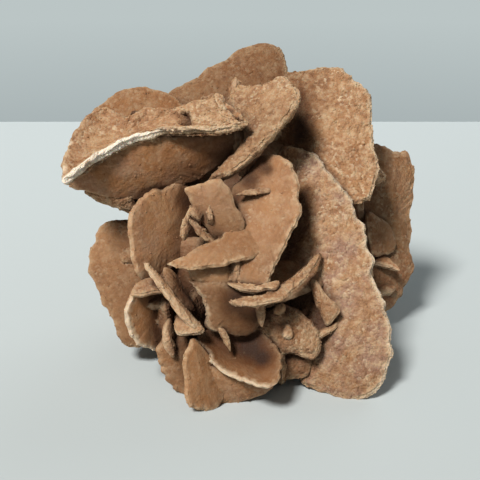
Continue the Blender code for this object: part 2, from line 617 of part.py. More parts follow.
def build_rose():
    scene_home = bpy.context.scene.collection
    blades = bpy.data.collections.new("blades")
    scene_home.children.link(blades)
    seed = 0
    for drawn, around, share in ((LARGE_DRAWN, LARGE_AROUND, BORDER_SHARE), (SMALL_DRAWN, SMALL_AROUND, 0)):
        for name, blade in drawn.items():
            seed += 1
            frame = drawn_frame(blade["middle"], blade["depth"], blade["turn"], blade["lean"])
            outline = [laid_back(corner, frame) for corner in blade["outline"]]
            solid = blade_solid(
                frame, outline, blade["thick"], blade["edge"], blade["bow"], around, share, False, seed
            )
            as_cutter(object_of(name, solid, blades))
    for placed, around, share in ((STEMS, SMALL_AROUND, 0), (PLACED, PLACED_AROUND, BORDER_SHARE)):
        for name, (middle, depth, facing, roll, half_length, half_width, thick) in placed.items():
            seed += 1
            frame = placed_frame(middle, depth, facing, roll)
            outline = lobed_outline(half_length, half_width, seed)
            edge = PLACED_EDGE_SHARE * thick
            solid = blade_solid(frame, outline, thick, edge, 0, around, share, share > 0, seed)
            as_cutter(object_of(name, solid, blades))

    for i in range(SPROUTS):
        seed += 1
        frame, half_length = sprout_place(i)
        outline = lobed_outline(half_length, half_length * SPROUT_WIDTH_SHARE, seed)
        edge = PLACED_EDGE_SHARE * SPROUT_THICK
        solid = blade_solid(frame, outline, SPROUT_THICK, edge, 0, SMALL_AROUND, 0, False, seed)
        as_cutter(object_of(f"sprout {i}", solid, blades))

    rose = object_of("gypsum_sand_rose", core_solid(), scene_home)
    fuse = rose.modifiers.new("grown together", "BOOLEAN")
    fuse.operation = "UNION"
    fuse.operand_type = "COLLECTION"
    fuse.collection = blades
    fuse.solver = "EXACT"

    ground = bmesh.new()
    bmesh.ops.create_cube(ground, size=GROUND_SIZE, matrix=Matrix.Translation((0, 0, -GROUND_SIZE / 2)))
    floor_cut = object_of("worn flats", ground, scene_home)
    as_cutter(floor_cut)
    flats = rose.modifiers.new("worn flats", "BOOLEAN")
    flats.operation = "DIFFERENCE"
    flats.object = floor_cut
    flats.solver = "EXACT"
    keep_outer_skin(rose)

    gypsum = bpy.data.materials.new("gypsum")
    gypsum.use_nodes = True
    shader = gypsum.node_tree.nodes["Principled BSDF"]
    shader.inputs["Base Color"].default_value = GYPSUM_COLOUR
    shader.inputs["Roughness"].default_value = GYPSUM_ROUGHNESS
    rose.data.materials.append(gypsum)


clear_scene()
build_rose()
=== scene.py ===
"""The finished looks of a gypsum sand rose: sandy lens-shaped crystals that grew through one another.

Lengths are in millimetres until a finished mesh is scaled to metres. The crystals are the ones that
the frame's solid is made of, drawn again with fine rims, growth steps, ribs and grains.
"""

import json
import math
import random

import bmesh
import bpy
import numpy as np
from mathutils import Matrix, Vector, kdtree, noise
from mathutils.bvhtree import BVHTree

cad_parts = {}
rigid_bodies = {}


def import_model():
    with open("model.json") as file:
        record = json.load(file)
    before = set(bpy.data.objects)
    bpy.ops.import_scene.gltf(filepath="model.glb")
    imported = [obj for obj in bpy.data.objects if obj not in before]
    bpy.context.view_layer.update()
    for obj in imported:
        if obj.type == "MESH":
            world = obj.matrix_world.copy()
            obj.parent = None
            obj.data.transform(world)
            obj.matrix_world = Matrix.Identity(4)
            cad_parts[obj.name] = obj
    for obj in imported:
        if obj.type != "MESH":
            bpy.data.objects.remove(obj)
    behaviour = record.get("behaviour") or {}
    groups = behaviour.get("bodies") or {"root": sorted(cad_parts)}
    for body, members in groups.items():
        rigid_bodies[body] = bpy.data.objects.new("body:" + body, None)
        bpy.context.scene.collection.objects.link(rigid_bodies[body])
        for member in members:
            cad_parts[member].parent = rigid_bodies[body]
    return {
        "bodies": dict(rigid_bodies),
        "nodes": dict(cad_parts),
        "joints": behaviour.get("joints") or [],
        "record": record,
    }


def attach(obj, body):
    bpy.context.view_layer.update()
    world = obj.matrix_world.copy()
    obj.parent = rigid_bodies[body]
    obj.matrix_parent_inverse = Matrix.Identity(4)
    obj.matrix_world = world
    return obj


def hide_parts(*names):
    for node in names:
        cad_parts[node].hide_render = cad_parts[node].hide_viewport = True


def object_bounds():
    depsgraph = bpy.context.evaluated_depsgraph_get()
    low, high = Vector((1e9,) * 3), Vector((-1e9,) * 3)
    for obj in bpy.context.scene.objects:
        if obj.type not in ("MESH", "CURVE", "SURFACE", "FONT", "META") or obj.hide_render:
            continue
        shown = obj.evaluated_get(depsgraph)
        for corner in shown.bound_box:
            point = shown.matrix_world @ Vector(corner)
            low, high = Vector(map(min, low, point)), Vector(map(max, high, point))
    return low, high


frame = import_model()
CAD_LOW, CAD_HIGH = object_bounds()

MM = 0.001
TINY = 1e-6
GOLDEN_SHARE = 0.618
NODE = "gypsum_sand_rose"

# The eye point that the front crystals are drawn from: its rise above the horizon and its distance.
EYE_RISE = math.radians(20)
EYE_AWAY = 240
# The sketch plane's middle, above the surface that the rose stands on, and the rose's shift to it.
SKETCH_HEIGHT = 42
TO_ORIGIN = (-4.4, -16.3)

SIGHT_RIGHT = Vector((1, 0, 0))
SIGHT_UP = Vector((0, math.sin(EYE_RISE), math.cos(EYE_RISE)))
SIGHT_NEAR = Vector((0, -math.cos(EYE_RISE), math.sin(EYE_RISE)))
SKETCH_MIDDLE = Vector((TO_ORIGIN[0], TO_ORIGIN[1], SKETCH_HEIGHT))

# The view takes in this width of the sketch plane.
VIEW_WIDTH = 144
SENSOR_WIDTH = 36
CLIP_START = 0.01

# The studio, in metres and watts. Each light: place, size, power and colour.
LIGHT_TARGET = (0, 0, 0.045)
LIGHTS = {
    "window": ((-0.70, -1.08, 1.58), 0.5, 54, "#fbfaf8"),
    "far wall": ((0.9, 1.3, 1.0), 1.6, 9, "#eef3f6"),
}
SKY = "#c3ccce"
SKY_STRENGTH = 0.24
FLOOR_WIDTH = 6
FLOOR_DEPTH = 4
FLOOR_BACK = 0.363
# Painted light: the paper is painted paler over this reach, front to back, and the wall over this rise of a
# look at it.
PAPER_PAINTED_LIGHT_REACH = (-0.12, FLOOR_BACK)
PAPER_PAINTED_LIGHT_SHADES = ("#b4bab9", "#d6dede")
WALL_PAINTED_LIGHT_RISE = (-0.2, -0.08)
WALL_PAINTED_LIGHT_SHADES = ("#a9b3b4", "#bbc5c5")

# A rim: its waves, the grit bitten out of it, how far they stand out at most, how round its edges
# are and how much it is thinned over what width. A crystal narrower than BOLD_BREADTH has less.
RIM_WAVE = 0.7
RIM_WAVE_PITCH = 6
RIM_GRIT = 0.45
RIM_GRIT_PITCH = 2
RIM_GRIT_INWARD = 0.6
RIM_OUT_MOST = 0.3
RIM_ROUND = 0.28
RIM_THIN = 0.16
RIM_THIN_WIDTH = 1.8
RIM_WIDTH = 1.1
BOLD_BREADTH = 9
# Relief on the faces: growth steps along the rim and ribs across it, that fade inwards over
# NEAR_RIM, then broad swells, lumps and grains.
NEAR_RIM = 6
STEP_RELIEF = 0.14
STEP_PITCH = 2.6
STEP_WANDER = 1.5
STEP_WANDER_PITCH = 7
RIB_RELIEF = 0.36
RIB_PITCH = 1.9
SWELL_RELIEF = 0.5
SWELL_PITCH = 10
LUMP_RELIEF = 0.26
LUMP_PITCH = 4
GRAIN_RELIEF = 0.2
GRAIN_PITCH = 1.7
# What a crystal with no coarse sand in it keeps of each relief, and what sand adds to the steps.
SMOOTH_WAVES = 0.25
SMOOTH_STEPS = 0.3
SMOOTH_RIBS = 0.35
SMOOTH_LUMPS = 0.12
SMOOTH_GRAINS = 0.08
SANDY_STEPS = 0.9
# The sugary crust on the rims: how far it stands out, its width, how fast it thickens on a rim that
# turns to the crusted side, how strong and wide its patches are, and over what width it fades away
# on a crystal that has it on one side only, and to what.
CRUST_RELIEF = 0.3
CRUST_WIDTH = 1.7
CRUST_GAIN = 1.6
CRUST_PATCHES = 0.4
CRUST_PATCH_PITCH = 5
CRUST_FADE = 14
CRUST_LEAST = 0.25
# What each vertex is marked with, besides its crystal's finish.
LOOKS = ("crust", "rim", "tone_and_shade", "hollow_shade")
# The way that the crusted rims point.
CRUST_SIDE = Vector((-0.25, -0.92, -0.3))

# Loose sand grains that grew into the faces and rims: how many, and their half lengths. Real ones
# are mostly smaller; these are drawn as coarse as they need to show.
GRAINS = 8000
GRAIN_HALF_LENGTHS = (0.3, 0.62)
# Their widths and heights as shares of their length, how far they are tipped, in radians, how deep
# they sit, and how many lie on plain faces and rims against one on a sandy face.
GRAIN_WIDTHS = (0.6, 0.9)
GRAIN_HEIGHTS = (0.45, 0.7)
GRAIN_TIP = 0.6
GRAIN_SUNK = 0.15
GRAINS_ON_PLAIN = 0.12
GRAINS_ON_RIM = 0.9
GRAIN_CORNERS = 12
GRAINS_AT_ONCE = 100
# The sand inside the crystals, as colour and bumps show it. Desert sand is 0.1 to 0.5 mm across, too
# fine to show, so it is drawn coarser.
SAND_SIZE = 0.8
# Pitches of the stone's other patterns: pale and deep tan, iron stain, grey sand, gathered grains,
# blotches of sand, and the fine sugar of the surface.
BROAD_PITCH = 12
STAIN_PITCH = 5
DUSK_PITCH = 7
GATHERED_PITCH = 6
BLOTCH_PITCH = 2.4
SUGAR_PITCH = 0.4
BUMP_HEIGHT = 0.3
GLOW_DEPTH = 1.5

# Painted shade in the hollows: how far a hollow shelters what is in it, and how many ways each point looks
# out from just above.
SHELTER_REACH = 16
SHELTER_LOOKS = 14
SHELTER_START = 0.4

# Colours of the stone, sRGB.
TAN = "#ae8661"
TAN_DEEP = "#9a7150"
IRON_STAIN = "#9c693e"
DUSK_SAND = "#9a7a6b"
DARK_SAND = "#6e4c35"
# Painted shade in the hollows, not a colour of the stone.
HOLLOW_SHADE_COLOUR = "#452a1a"
# Painted shadow at its darkest, in the clefts, not a colour of the stone.
PAINTED_SHADOW_BLACK = "#241208"
PALE_SAND = "#c1a380"
PALE_GRAIN = "#d8c2a2"
CRUST_WHITE = "#e9dac6"
# What browner sand and painted shade leave of each colour channel.
BROWN_AND_SHADE_FILTER = (0.32, 0.25, 0.185, 1)

# Small crystals at the back and on the flanks: how many, how far out, the compass angle and the rise
# where they start and how far they spread from it, half lengths, width as a share of length,
# thickness, and how far they lean out.
SPROUTS = 9
SPROUT_OUT = 7
SPROUT_COMPASS = (-15, 210)
SPROUT_RISE = (-35, 105)
SPROUT_HALF_LENGTHS = (9, 14)
SPROUT_WIDTH_SHARE = 0.72
SPROUT_THICK = 3.6
SPROUT_LEAN_OUT = 0.35

# The lump where all crystals meet: centre, half sizes, and how far its lumps stand out and how close
# together they are.
CORE_CENTRE = (3, 24, 43)
CORE_HALF_SIZES = (24, 16, 24)
CORE_LUMPS = 3.0
CORE_LUMP_CLOSENESS = 2.3
GROUND_SIZE = 300

# How much of a crystal's swelling is on its front face, how far in it swells as a share of its
# reach, and a placed one's edge as a share of its middle.
FRONT_SHARE = 0.25
SWELL_SHARE = 0.45
PLACED_EDGE_SHARE = 0.42
# A placed crystal's outline: its corners, and how close together and how large its lobes are.
OUTLINE_CORNERS = 14
LOBES = ((1.3, 0.16), (3.1, 0.08))

# Mesh spacing on drawn crystals, on small ones, on placed ones and on the stems that hardly show.
FINE = 0.85
FINEST = 0.6 * FINE
COARSE = 1.15
COARSEST = 2.2

# How each crystal differs: warm is orange iron stain, dusk is lilac-grey sand, grain is how coarse
# and pale its sand is, crust is how thick and pale the crust on its rim is, and tone is how brown
# its sand is, together with painted shade on the crystals that lie in shade. 0 is none and 1 is
# most, but a crust above 1 spreads wider.
PLAIN_FINISH = (0.35, 0.2, 0.5, 0.12, 0.35)
PLACED_FINISH_RANGE = ((0.15, 0.0, 0.2, 0.1, 0.0), (0.9, 0.4, 1.0, 0.35, 0.35))

# Painted shade: which way a crystal is painted darker, where less light falls on it, across and up, and by
# how much at its rim.
PAINTED_SHADE_SLOPES = {
    "tray top": (-1, 0, 0.35),
    "tray underside": (0.8, -0.5, 0.35),
    "tray right": (-0.3, -0.9, 0.3),
    "top middle": (0.6, -0.8, 0.3),
    "top right": (-0.95, 0.1, 1.0),
    "big right": (-0.2, -0.98, 0.4),
    "right rear": (-0.9, -0.4, 0.15),
    "left centre": (1, -0.2, 0.9),
    "left rear": (1, -0.4, 0.4),
    "lower left cup": (1, 0, 0.7),
    "centre plate": (-0.3, -0.95, 0.35),
    "upper front": (0.5, -0.85, 0.25),
    "front petal": (0.4, 0.9, 0.25),
    "front block": (1, -0.1, 0.45),
    "bottom front": (1, 0.3, 0.3),
    "bottom cup": (0.1, 0.95, 0.55),
    "lower middle": (-0.8, 0.3, 0.3),
}

# The hollow in a crystal's front face, the bumpy ridge along its rear rim, the smooth roll along its
# front rim, and how far to the right of its middle its crust fades away, in millimetres.
BOWLED = {"tray top": (2.2, 1.7, 0.8, 17), "tray underside": (0, 0, 0, 15), "bottom cup": (1.6, 0, 0, 0)}
# How wide a hollow's wall is, and how far in from the rim a ridge and a roll lie and how wide they are.
BOWL_WALL = 5
RIDGE_PLACE = (1.4, 1.6)
ROLL_PLACE = (0.9, 1.1)
# A ridge's least height, its bumps and their pitch.
RIDGE_LEAST = 0.65
RIDGE_BUMPS = 0.45
RIDGE_PITCH = 2.6
# Pits in a crystal's front face: place on the sketch plane, radius and depth. A pit is also painted darker,
# as painted shade.
PITS = {"tray top": ((-16, 36), 1.7, 2.4)}
# Painted shadows, deep in the clefts and where overhangs cast them: places on the sketch plane and radii, and
# how much.
PAINTED_SHADOW_STRENGTH = 1.3
PAINTED_SHADOWS = {
    "big right": (((20, 14), 3.5), ((19, 9), 4.5), ((17, 3), 4.5), ((15, -3), 4.5), ((12, -9), 4.5)),
    "top right": (((17, 41), 4), ((18.5, 35), 4.5), ((18.5, 30), 4)),
    "lower middle": (((7, -21.6), 2), ((13, -21), 1.6)),
    "left centre": (((-17, 12), 3.5), ((-15, 4), 3)),
    "centre plate": (
        ((1, 20), 3.2), ((6.5, 23), 2.6), ((3.5, 17.5), 3.2), ((8.5, 20.8), 2), ((-1, 12.6), 1.8),
    ),
    "diagonal second": (((-17, -14), 4), ((-15, -18), 3)),
    "hollow block": (((13, -35), 2.5),),
    "front block": (((-1, -18), 4),),
    "bottom cup": (((2.5, -32), 4.5), ((7, -35.5), 2.4)),
}
# The way that the crusted rims of these crystals point.
CRUST_TOWARDS = {
    "tray underside": Vector((-0.1, -0.2, 0.95)),
    "big right": Vector((0.9, -0.3, 0.2)),
    "top right": Vector((0.8, -0.3, 0.4)),
    "centre plate": Vector((0.9, -0.2, 0.2)),
    "front block": Vector((-0.9, -0.3, -0.2)),
}

# Drawn crystals: middle on the sketch plane, the middle's depth towards the eye, turn (right side away)
# and lean (top away) in degrees, thickness at the middle and at the edge, bow (how far the rim stands
# towards the eye from a flat crystal), finish, and the outline's corners on the sketch plane, across
# and up for each.
LARGE_DRAWN = {
    "tray top": ((-35, 33), 4.8, -10, 42, 6, 2.2, 0, (0.45, 0.1, 0.7, 1.7, 0.05), (
        -51, 18.5, -45, 22.8, -38, 27, -31, 30.2, -22, 32.6, -12, 32.6, -2, 33.6, 3, 36, -3, 41, -12, 42,
        -19, 39.5, -24, 39.5, -29, 40, -34, 37.2, -38, 39, -44, 38.4, -49, 34, -52, 29, -54, 22.5,
        -53.8, 18,
    )),
    "tray underside": ((-26, 23), 2, 15, -25, 7, 2.4, 0, (1, 0.3, 0.15, 0.45, 0.34), (
        -53.6, 18.6, -48, 21, -42, 25, -33, 29.5, -24, 31.6, -12, 31.6, -2, 32.4, 3, 31, -2, 25.5, -9, 19.5,
        -16, 16, -25, 12, -31, 11.4, -37, 11.6, -45, 13.8, -51, 15.4,
    )),
    "tray right": ((7, 39), 1.2, -37, 38, 6, 2.6, 0.5, (0.2, 0.1, 0.9, 0.15, 0.17), (
        3, 25.6, 8, 30.4, 13, 36, 16.4, 41, 17.6, 44.4, 16, 47, 12.5, 50.2, 9, 48, 4, 47, -1, 46.8, -4, 43,
        -4, 38, 0, 34, 0.6, 30,
    )),
    "tray right tail": ((0, 26), 6.1, -37, 38, 6, 2.4, 0.3, (0.2, 0.1, 0.7, 0.2, 0.2), (
        -10, 17.6, -4, 20, 2, 24.6, 6.4, 28.8, 7, 33, 3, 32, -1, 28, -6, 22.4,
    )),
    "tray crest": ((-8, 38.5), 6.1, -10, 34, 4, 1.6, 0, (0, 0, 1, 0.2, 0), (
        -18.5, 39, -15, 41.8, -9, 43, -7.5, 44.5, -5, 43.6, -3.4, 40, 0, 36.6, 2.4, 35, -4, 34, -12, 34.2,
        -14.6, 35, -15.4, 37.4,
    )),
    "back left": ((-32, 40), -13, 5, 25, 6, 2.6, 0, (0.9, 0, 0.3, 0.1, 0.36), (
        -47, 36, -42.5, 40.6, -38, 44.4, -34.5, 46, -30, 46.7, -26, 46, -21, 44.4, -16, 40, -20, 34,
        -30, 30, -42, 31,
    )),
    "top middle": ((-2, 48), -23, -8, 22, 7, 3, 0.8, (0.7, 0, 0.6, 0.1, 0.68), (
        -22.5, 43, -19.5, 46, -14, 48.8, -11, 51.6, -5, 54.6, -2, 57, 3, 58.9, 9, 59.2, 12.8, 57.4,
        14.4, 52, 14, 44, 6, 38, -6, 36, -18, 38,
    )),
    "top right": ((26, 32), -14, -12, 16, 6.5, 2.6, 0.8, (0.5, 0.05, 0.85, 0.4, 0.06), (
        10, 50.4, 14.5, 51, 20, 51.7, 26, 52.2, 31, 51.3, 34.6, 48.6, 38, 45.8, 39.8, 42, 39.8, 33,
        41.6, 25.5, 41.4, 20, 40, 14.5, 38, 11.6, 34, 10.6, 26, 12, 17, 18, 10, 27, 8, 40,
    )),
    "big right": ((29, -9), -1.5, -16, 10, 8, 2.6, 0, (0.3, 0.65, 0.8, 0.55, 0), (
        12, 28.6, 18, 27.8, 22.4, 26, 27, 21, 31.6, 15.6, 34, 11.4, 34.8, 7.6, 37.8, 5.6, 38.6, -1.6,
        40.2, -5.6, 39.7, -9.6, 42, -14.4, 44.2, -20, 45.4, -26.6, 46.2, -34, 44.8, -38.4, 42.2, -44.2,
        37.4, -47.6, 31, -48.2, 24.6, -46, 17.6, -42.6, 12, -36, 8.6, -20, 8, 0, 9.6, 18,
    )),
    "right rear": ((41, 4), -33, 18, 4, 8, 3.2, -0.6, (0.6, 0.15, 0.5, 0.15, 0.36), (
        36, 30, 43, 29.1, 46.4, 27.2, 51.2, 26.5, 53.2, 21, 52.8, 13, 51.5, 8, 52.1, 3, 51.6, -3, 52.8, -8,
        51.4, -12.6, 48.4, -18, 44.6, -22, 36, -21, 28, -8, 26, 10, 29, 23,
    )),
    "left centre": ((-22.5, 2), 1, 39, 4, 5.5, 2.2, 1, (0.7, 0.15, 0.1, 0.22, 0.12), (
        -23, 15.8, -27, 15.2, -30.2, 12.4, -32.8, 9.4, -33.4, 5, -33, -2.6, -32.4, -6.6, -31, -10.2,
        -28, -12.6, -22, -10, -14, -4, -11, 5, -13, 14, -18, 18,
    )),
    "left rear": ((-35, -12), -11, -8, 4, 7, 2.8, 0, (0.5, 0, 0.3, 0.1, 0.52), (
        -29, 8, -33.6, 6.8, -39, 6.4, -42.4, 4.2, -44.4, 0, -45.9, -5.4, -45.8, -10, -43.6, -15, -42, -19,
        -39.6, -23, -37.6, -27.4, -35.2, -31.2, -30, -32.6, -25, -28, -22, -14, -23, 0,
    )),
    "lower left cup": ((-27, -23), 5.5, 42, -6, 4.5, 1.8, 1.6, (1, 0, 0.05, 0.6, 0), (
        -26, -12.2, -30.6, -13.5, -32.8, -16, -34.2, -19.6, -34.5, -22, -33.8, -26.6, -32.6, -29.8,
        -30, -31.8, -26.5, -33.2, -22, -33, -19, -29, -19, -21, -21.5, -14,
    )),
    "bottom left": ((-17, -38), 5, 10, -12, 6, 2.4, 0, (0.6, 0, 0.2, 0.15, 0.35), (
        -25, -32, -24.6, -36, -23.6, -40, -21.4, -43.4, -18, -46.8, -14, -48, -9, -44, -8, -34, -14, -29,
        -21, -28.5,
    )),
    "bottom front": ((-11.5, -41), 13, 32, -2, 4.4, 2, 0.6, (0.9, 0, 0.1, 0.25, 0.3), (
        -14.6, -30, -16.6, -35, -16.9, -39, -16.3, -44, -16.3, -49, -14, -51, -10, -51.4, -6, -50, -4, -45,
        -5, -39, -9, -33.5, -12, -30,
    )),
    "bottom base": ((0, -44), 9.5, 0, -24, 7, 3, 0, (0.5, 0.2, 0.2, 0.1, 0.25), (
        -13, -38, -4, -38, 6, -39, 12, -41, 10, -45.4, 5, -48, 0, -49.4, -6, -50.6, -11, -50,
    )),
    "bottom cup": ((1.5, -36), 10.5, 0, 42, 4, 1.7, 4.5, (1, 0, 0.1, 0.5, 0.75), (
        -13, -31, -11, -34, -8.4, -37.8, -5, -40.4, -1, -42.2, 3, -43.6, 6.4, -45.3, 9.4, -45.7,
        11.6, -43.4, 12.8, -37, 11.6, -32.6, 8, -29, 3, -27, -5, -27, -10, -28.6,
    )),
    "centre plate": ((7, 5), 10, -11, 19, 4.5, 1.8, 0, (0.6, 0.1, 0.25, 0.3, 0.08), (
        12.6, 25.6, 15.6, 23, 18.2, 17, 17.8, 14, 19.1, 9.8, 17.6, 5.4, 14, -1, 11.2, -6.4, 9.4, -11,
        7.6, -14, 1, -13.6, -5, -11, -7, 0, -5, 12, 1, 20, 7, 26,
    )),
    "front petal": ((-6, -2.4), 14, 8, 38, 5.4, 1.2, 0, (0.5, 0, 0.15, 0.25, 0.22), (
        -22.2, -6.8, -18, -8.3, -12, -8.6, -5, -7.6, 1, -6, 6.5, -4, 9, -1, 6, 6, 0, 6.4, -7, 0.8,
        -12, -1.2, -17, -4.6,
    )),
    "front block": ((-3.5, -21), 12.4, 9, -14, 7, 2.2, 0, (0.4, 0.1, 0.1, 0.4, 0.75), (
        -15.6, -12.4, -11, -12.6, -4, -13, 3, -14.6, 6.4, -19, 6.6, -25, 4, -28.6, 0, -29.6, -4, -28.8,
        -9, -27.6, -10.8, -26, -10.6, -22.6, -11.6, -18, -13.4, -14.8,
    )),
    "lower middle": ((14.5, -28), 6.5, 0, 6, 7, 1.8, 0, (0.4, 0.2, 0.8, 0.15, 0.42), (
        2, -26, 5, -21.4, 10, -19.4, 16, -20.4, 21, -23.6, 24, -27, 24.4, -32, 22.6, -35.6, 20.2, -35.9,
        16, -34.6, 12, -34.2, 8.6, -30, 5, -27.6,
    )),
    "upper front": ((-8, 11), 11, -8, -13, 5, 1.2, 0, (0.4, 0.2, 0.1, 0.2, 0.28), (
        -17, 15.4, -13, 17, -7, 18.4, -5.4, 17.6, -2.6, 14, -1.4, 10.4, 1, 7, 1, 3, -2, 0, -7, 0,
        -10.4, 3.4, -13.8, 8.4, -15.8, 12,
    )),
    "ribbon left": ((6, -17.3), 18.7, 0, 55, 2.8, 1.6, 0, (0.3, 0, 0.5, 0.35, 0.1), (
        -3.6, -17.8, 0, -16.8, 5, -16.4, 9, -15.2, 13, -13, 15, -15.4, 12, -17.6, 6, -18.8, 1.4, -19,
        -2, -18.6,
    )),
    "ribbon right": ((16, -12), 11.3, 0, 55, 2.8, 1.6, 0, (0.3, 0.1, 0.5, 0.3, 0.1), (
        9.5, -16.4, 11, -13.6, 13.5, -12, 19.5, -7.4, 23.8, -3.2, 24.4, -4.8, 20.4, -10.6, 16, -14.8,
        12.5, -17,
    )),
}

SMALL_DRAWN = {
    "tray lower lip": ((-38.5, 12), -1, 0, -30, 4, 1.4, 0, (0.3, 0.1, 0.6, 0.4, 0.15), (
        -47, 14.3, -44.5, 12.2, -41, 10.4, -36, 9, -31, 9, -33, 13, -38, 14.8, -43, 15.4,
    )),
    "tray root": ((-31, 12), -5, 0, -10, 6, 3, 0, (0.4, 0.3, 0.4, 0, 0.6), (
        -37, 10, -36, 15, -30, 18, -24, 16, -24, 10, -29, 7.5, -34, 7.8,
    )),
    "left rear patch": ((-33.6, -5), -9, -8, 4, 3.4, 2.6, 0, PLAIN_FINISH, (
        -35.6, -3.4, -32, -2.8, -30, -5, -32, -7, -35.8, -6.8,
    )),
    "rear rosette disc": ((42, 1.5), -28.5, 30, 0, 4.5, 1.4, 0, (0.5, 0.1, 0.3, 0.35, 0.25), (
        38, 8, 42, 7, 45, 4.6, 47, 1, 46.8, -3, 44, -5, 39, -4,
    )),
    "rear rosette upper leaf": ((43.4, -6), -29.5, -10, 50, 4, 1, 0, (0.5, 0.1, 0.3, 0.4, 0.2), (
        38.6, -3.4, 43.5, -4.2, 48.2, -8.6, 45.6, -8.4, 42, -7.4, 38.6, -6.6,
    )),
    "rear rosette lower leaf": ((43, -14.4), -31, 0, 55, 4, 1, 0, (0.5, 0.1, 0.3, 0.4, 0.2), (
        39, -12.8, 43, -12.8, 47, -14.2, 44, -15.8, 40, -15.6,
    )),
    "under petal": ((-8.6, -10), 13.2, 12, 4, 7.5, 1.6, 0, (0.4, 0.1, 0.1, 0.2, 0.1), (
        -15.8, -7, -15.4, -11, -12, -13.4, -3, -14, -1.6, -8, -4, -4, -12, -4,
    )),
    "under petal fin": ((-1.9, -9.8), 13.4, -40, 0, 3.4, 1, 0, PLAIN_FINISH, (
        -2.8, -4, -0.8, -4, -0.8, -12, -2.8, -12.8,
    )),
    "upper lip": ((4, -13.8), 16.6, 0, 48, 2.2, 1.2, 0, (0.3, 0, 0.4, 0.35, 0.15), (
        -4.4, -12.4, 0, -12.4, 5, -13, 8, -12.4, 12, -12, 11, -14.4, 8, -14.6, 5, -15.2, 0, -14.6,
    )),
    "arrow leaf": ((25, -19), 4, -26, 2, 6, 1.2, 0, (0.3, 0.1, 0.5, 0.25, 0.3), (
        20.8, -12, 22.6, -12.2, 25.5, -16.3, 29.5, -20.4, 29, -23, 26, -26, 24, -23, 22, -18.2,
    )),
    "arrow barb": ((25, -27.3), 4.5, -10, 45, 4, 1.2, 0, (0.3, 0.1, 0.5, 0.3, 0.1), (
        30.7, -22.7, 29.6, -25.2, 26.7, -27.7, 23, -29.8, 19.2, -31.6, 20.4, -28.8, 24.6, -26, 28, -24.2,
    )),
    "hollow block": ((16, -38.4), 3, 0, -6, 7, 4, 0, (0.4, 0.3, 0.5, 0.1, 0.6), (
        11, -34, 16, -33.6, 21.4, -34.6, 21.6, -39, 20, -41.6, 15, -42.4, 11, -42,
    )),
    "lower middle bump": ((14.4, -27.4), 8.6, 0, 6, 2.6, 1.2, 0, (0.1, 0, 0.3, 0.4, 0), (
        13.6, -25.2, 15.4, -25.6, 16.2, -28.6, 14.4, -30, 12.6, -28.6,
    )),
    "vertical fin": ((5.6, -22), 12.6, -36, -14, 3.6, 1, 0, PLAIN_FINISH, (
        4.6, -18, 6.6, -18.4, 7, -23, 6.4, -26.4, 4.8, -24,
    )),
    "pale block": ((12, -20.4), 7.6, 0, 20, 4, 2.4, 0, (0.1, 0, 0.3, 0.2, 0.1), (
        10, -19.4, 13.2, -18.6, 13.8, -20.8, 12, -22.2, 10.2, -21.8,
    )),
    "hanging spike": ((-4.8, -29.4), 12.4, -20, -12, 3, 1.2, 0, PLAIN_FINISH, (
        -7, -26.6, -5, -26.8, -3.4, -30, -3, -33.8, -4.4, -32, -6, -29,
    )),
    "diagonal spine": ((-19.6, -17), 13.5, 50, 46, 4, 1.4, 0, (0.2, 0.1, 0.3, 0.35, 0), (
        -28.4, -6.6, -26, -8, -22, -12.6, -18, -18, -14, -22.4, -10.4, -26.4, -13, -26.4, -17, -23,
        -21, -17.6, -25, -12,
    )),
    "diagonal second": ((-18.2, -14), 7.4, 50, 40, 5, 1, 0, (0.3, 0.2, 0.3, 0.15, 0.35), (
        -22.8, -8.4, -20, -9, -15.4, -16, -13, -20.6, -16, -20.4, -21.6, -15.4,
    )),
    "spine foot": ((-15.6, -26), 13.5, 0, 18, 5, 1.6, 0, (0.05, 0.1, 0.3, 0.4, 0), (
        -20, -24.4, -17, -21.6, -13.4, -23.8, -10.6, -26.8, -13, -28.2, -18.6, -28.4,
    )),
    "curled leaf": ((-21.2, -29), 10, 36, 0, 5, 1.2, 0, (0.1, 0.2, 0.3, 0.3, 0.1), (
        -21.8, -24, -20.2, -23.6, -19.6, -28, -19, -34.6, -20, -35.4, -22, -33, -22.9, -29,
    )),
    "cup spike": ((-23.8, -18), 6, 10, 44, 4.4, 1.2, 0, (0.2, 0, 0.3, 0.4, 0), (
        -27.8, -19.8, -26, -16.4, -23, -15.6, -20, -16.6, -20, -19.4,
    )),
    "cup bit": ((-24, -23.7), 4.2, 10, 30, 2.4, 1.2, 0, (0.2, 0, 0.3, 0.4, 0), (
        -27, -23.2, -24, -22.4, -20.6, -23, -20.6, -24.8, -25, -24.8,
    )),
    "cup crest": ((-27.4, -13.6), 12, 10, 45, 3.4, 1.6, 0, (0.2, 0.1, 0.3, 0.2, 0.1), (
        -33, -15.8, -31, -12.4, -27, -10.8, -22, -12, -22, -15, -26, -15.4, -30, -16.4,
    )),
    "left leaf": ((-16.2, 4.6), 12, 24, 0, 4, 1, 0, PLAIN_FINISH, (
        -14.4, 10.4, -16, 8, -17.6, 4, -17.8, 1.6, -16.6, -0.4, -15, 2, -14.4, 6,
    )),
    "thin upper leaf": ((-13, 7.4), 12, 46, 40, 3, 0.8, 0, PLAIN_FINISH, (
        -14.8, 8.8, -13.4, 11, -10.4, 9, -11.4, 6.4, -12.2, 5.8,
    )),
    "thin lower leaf": ((-11.2, 2.8), 13, 46, 42, 2.4, 0.8, 0, PLAIN_FINISH, (
        -15.2, 6.6, -13.6, 6.2, -10, 2.6, -7, 0, -8, -1, -11, 0.8, -13.4, 3.8,
    )),
    "shadow sliver": ((3.6, 14.8), 8.6, 0, 60, 1.6, 0.8, 0, PLAIN_FINISH, (
        -1.4, 14, 3, 15.4, 8.6, 15.8, 8.6, 14.6, 3, 14,
    )),
}

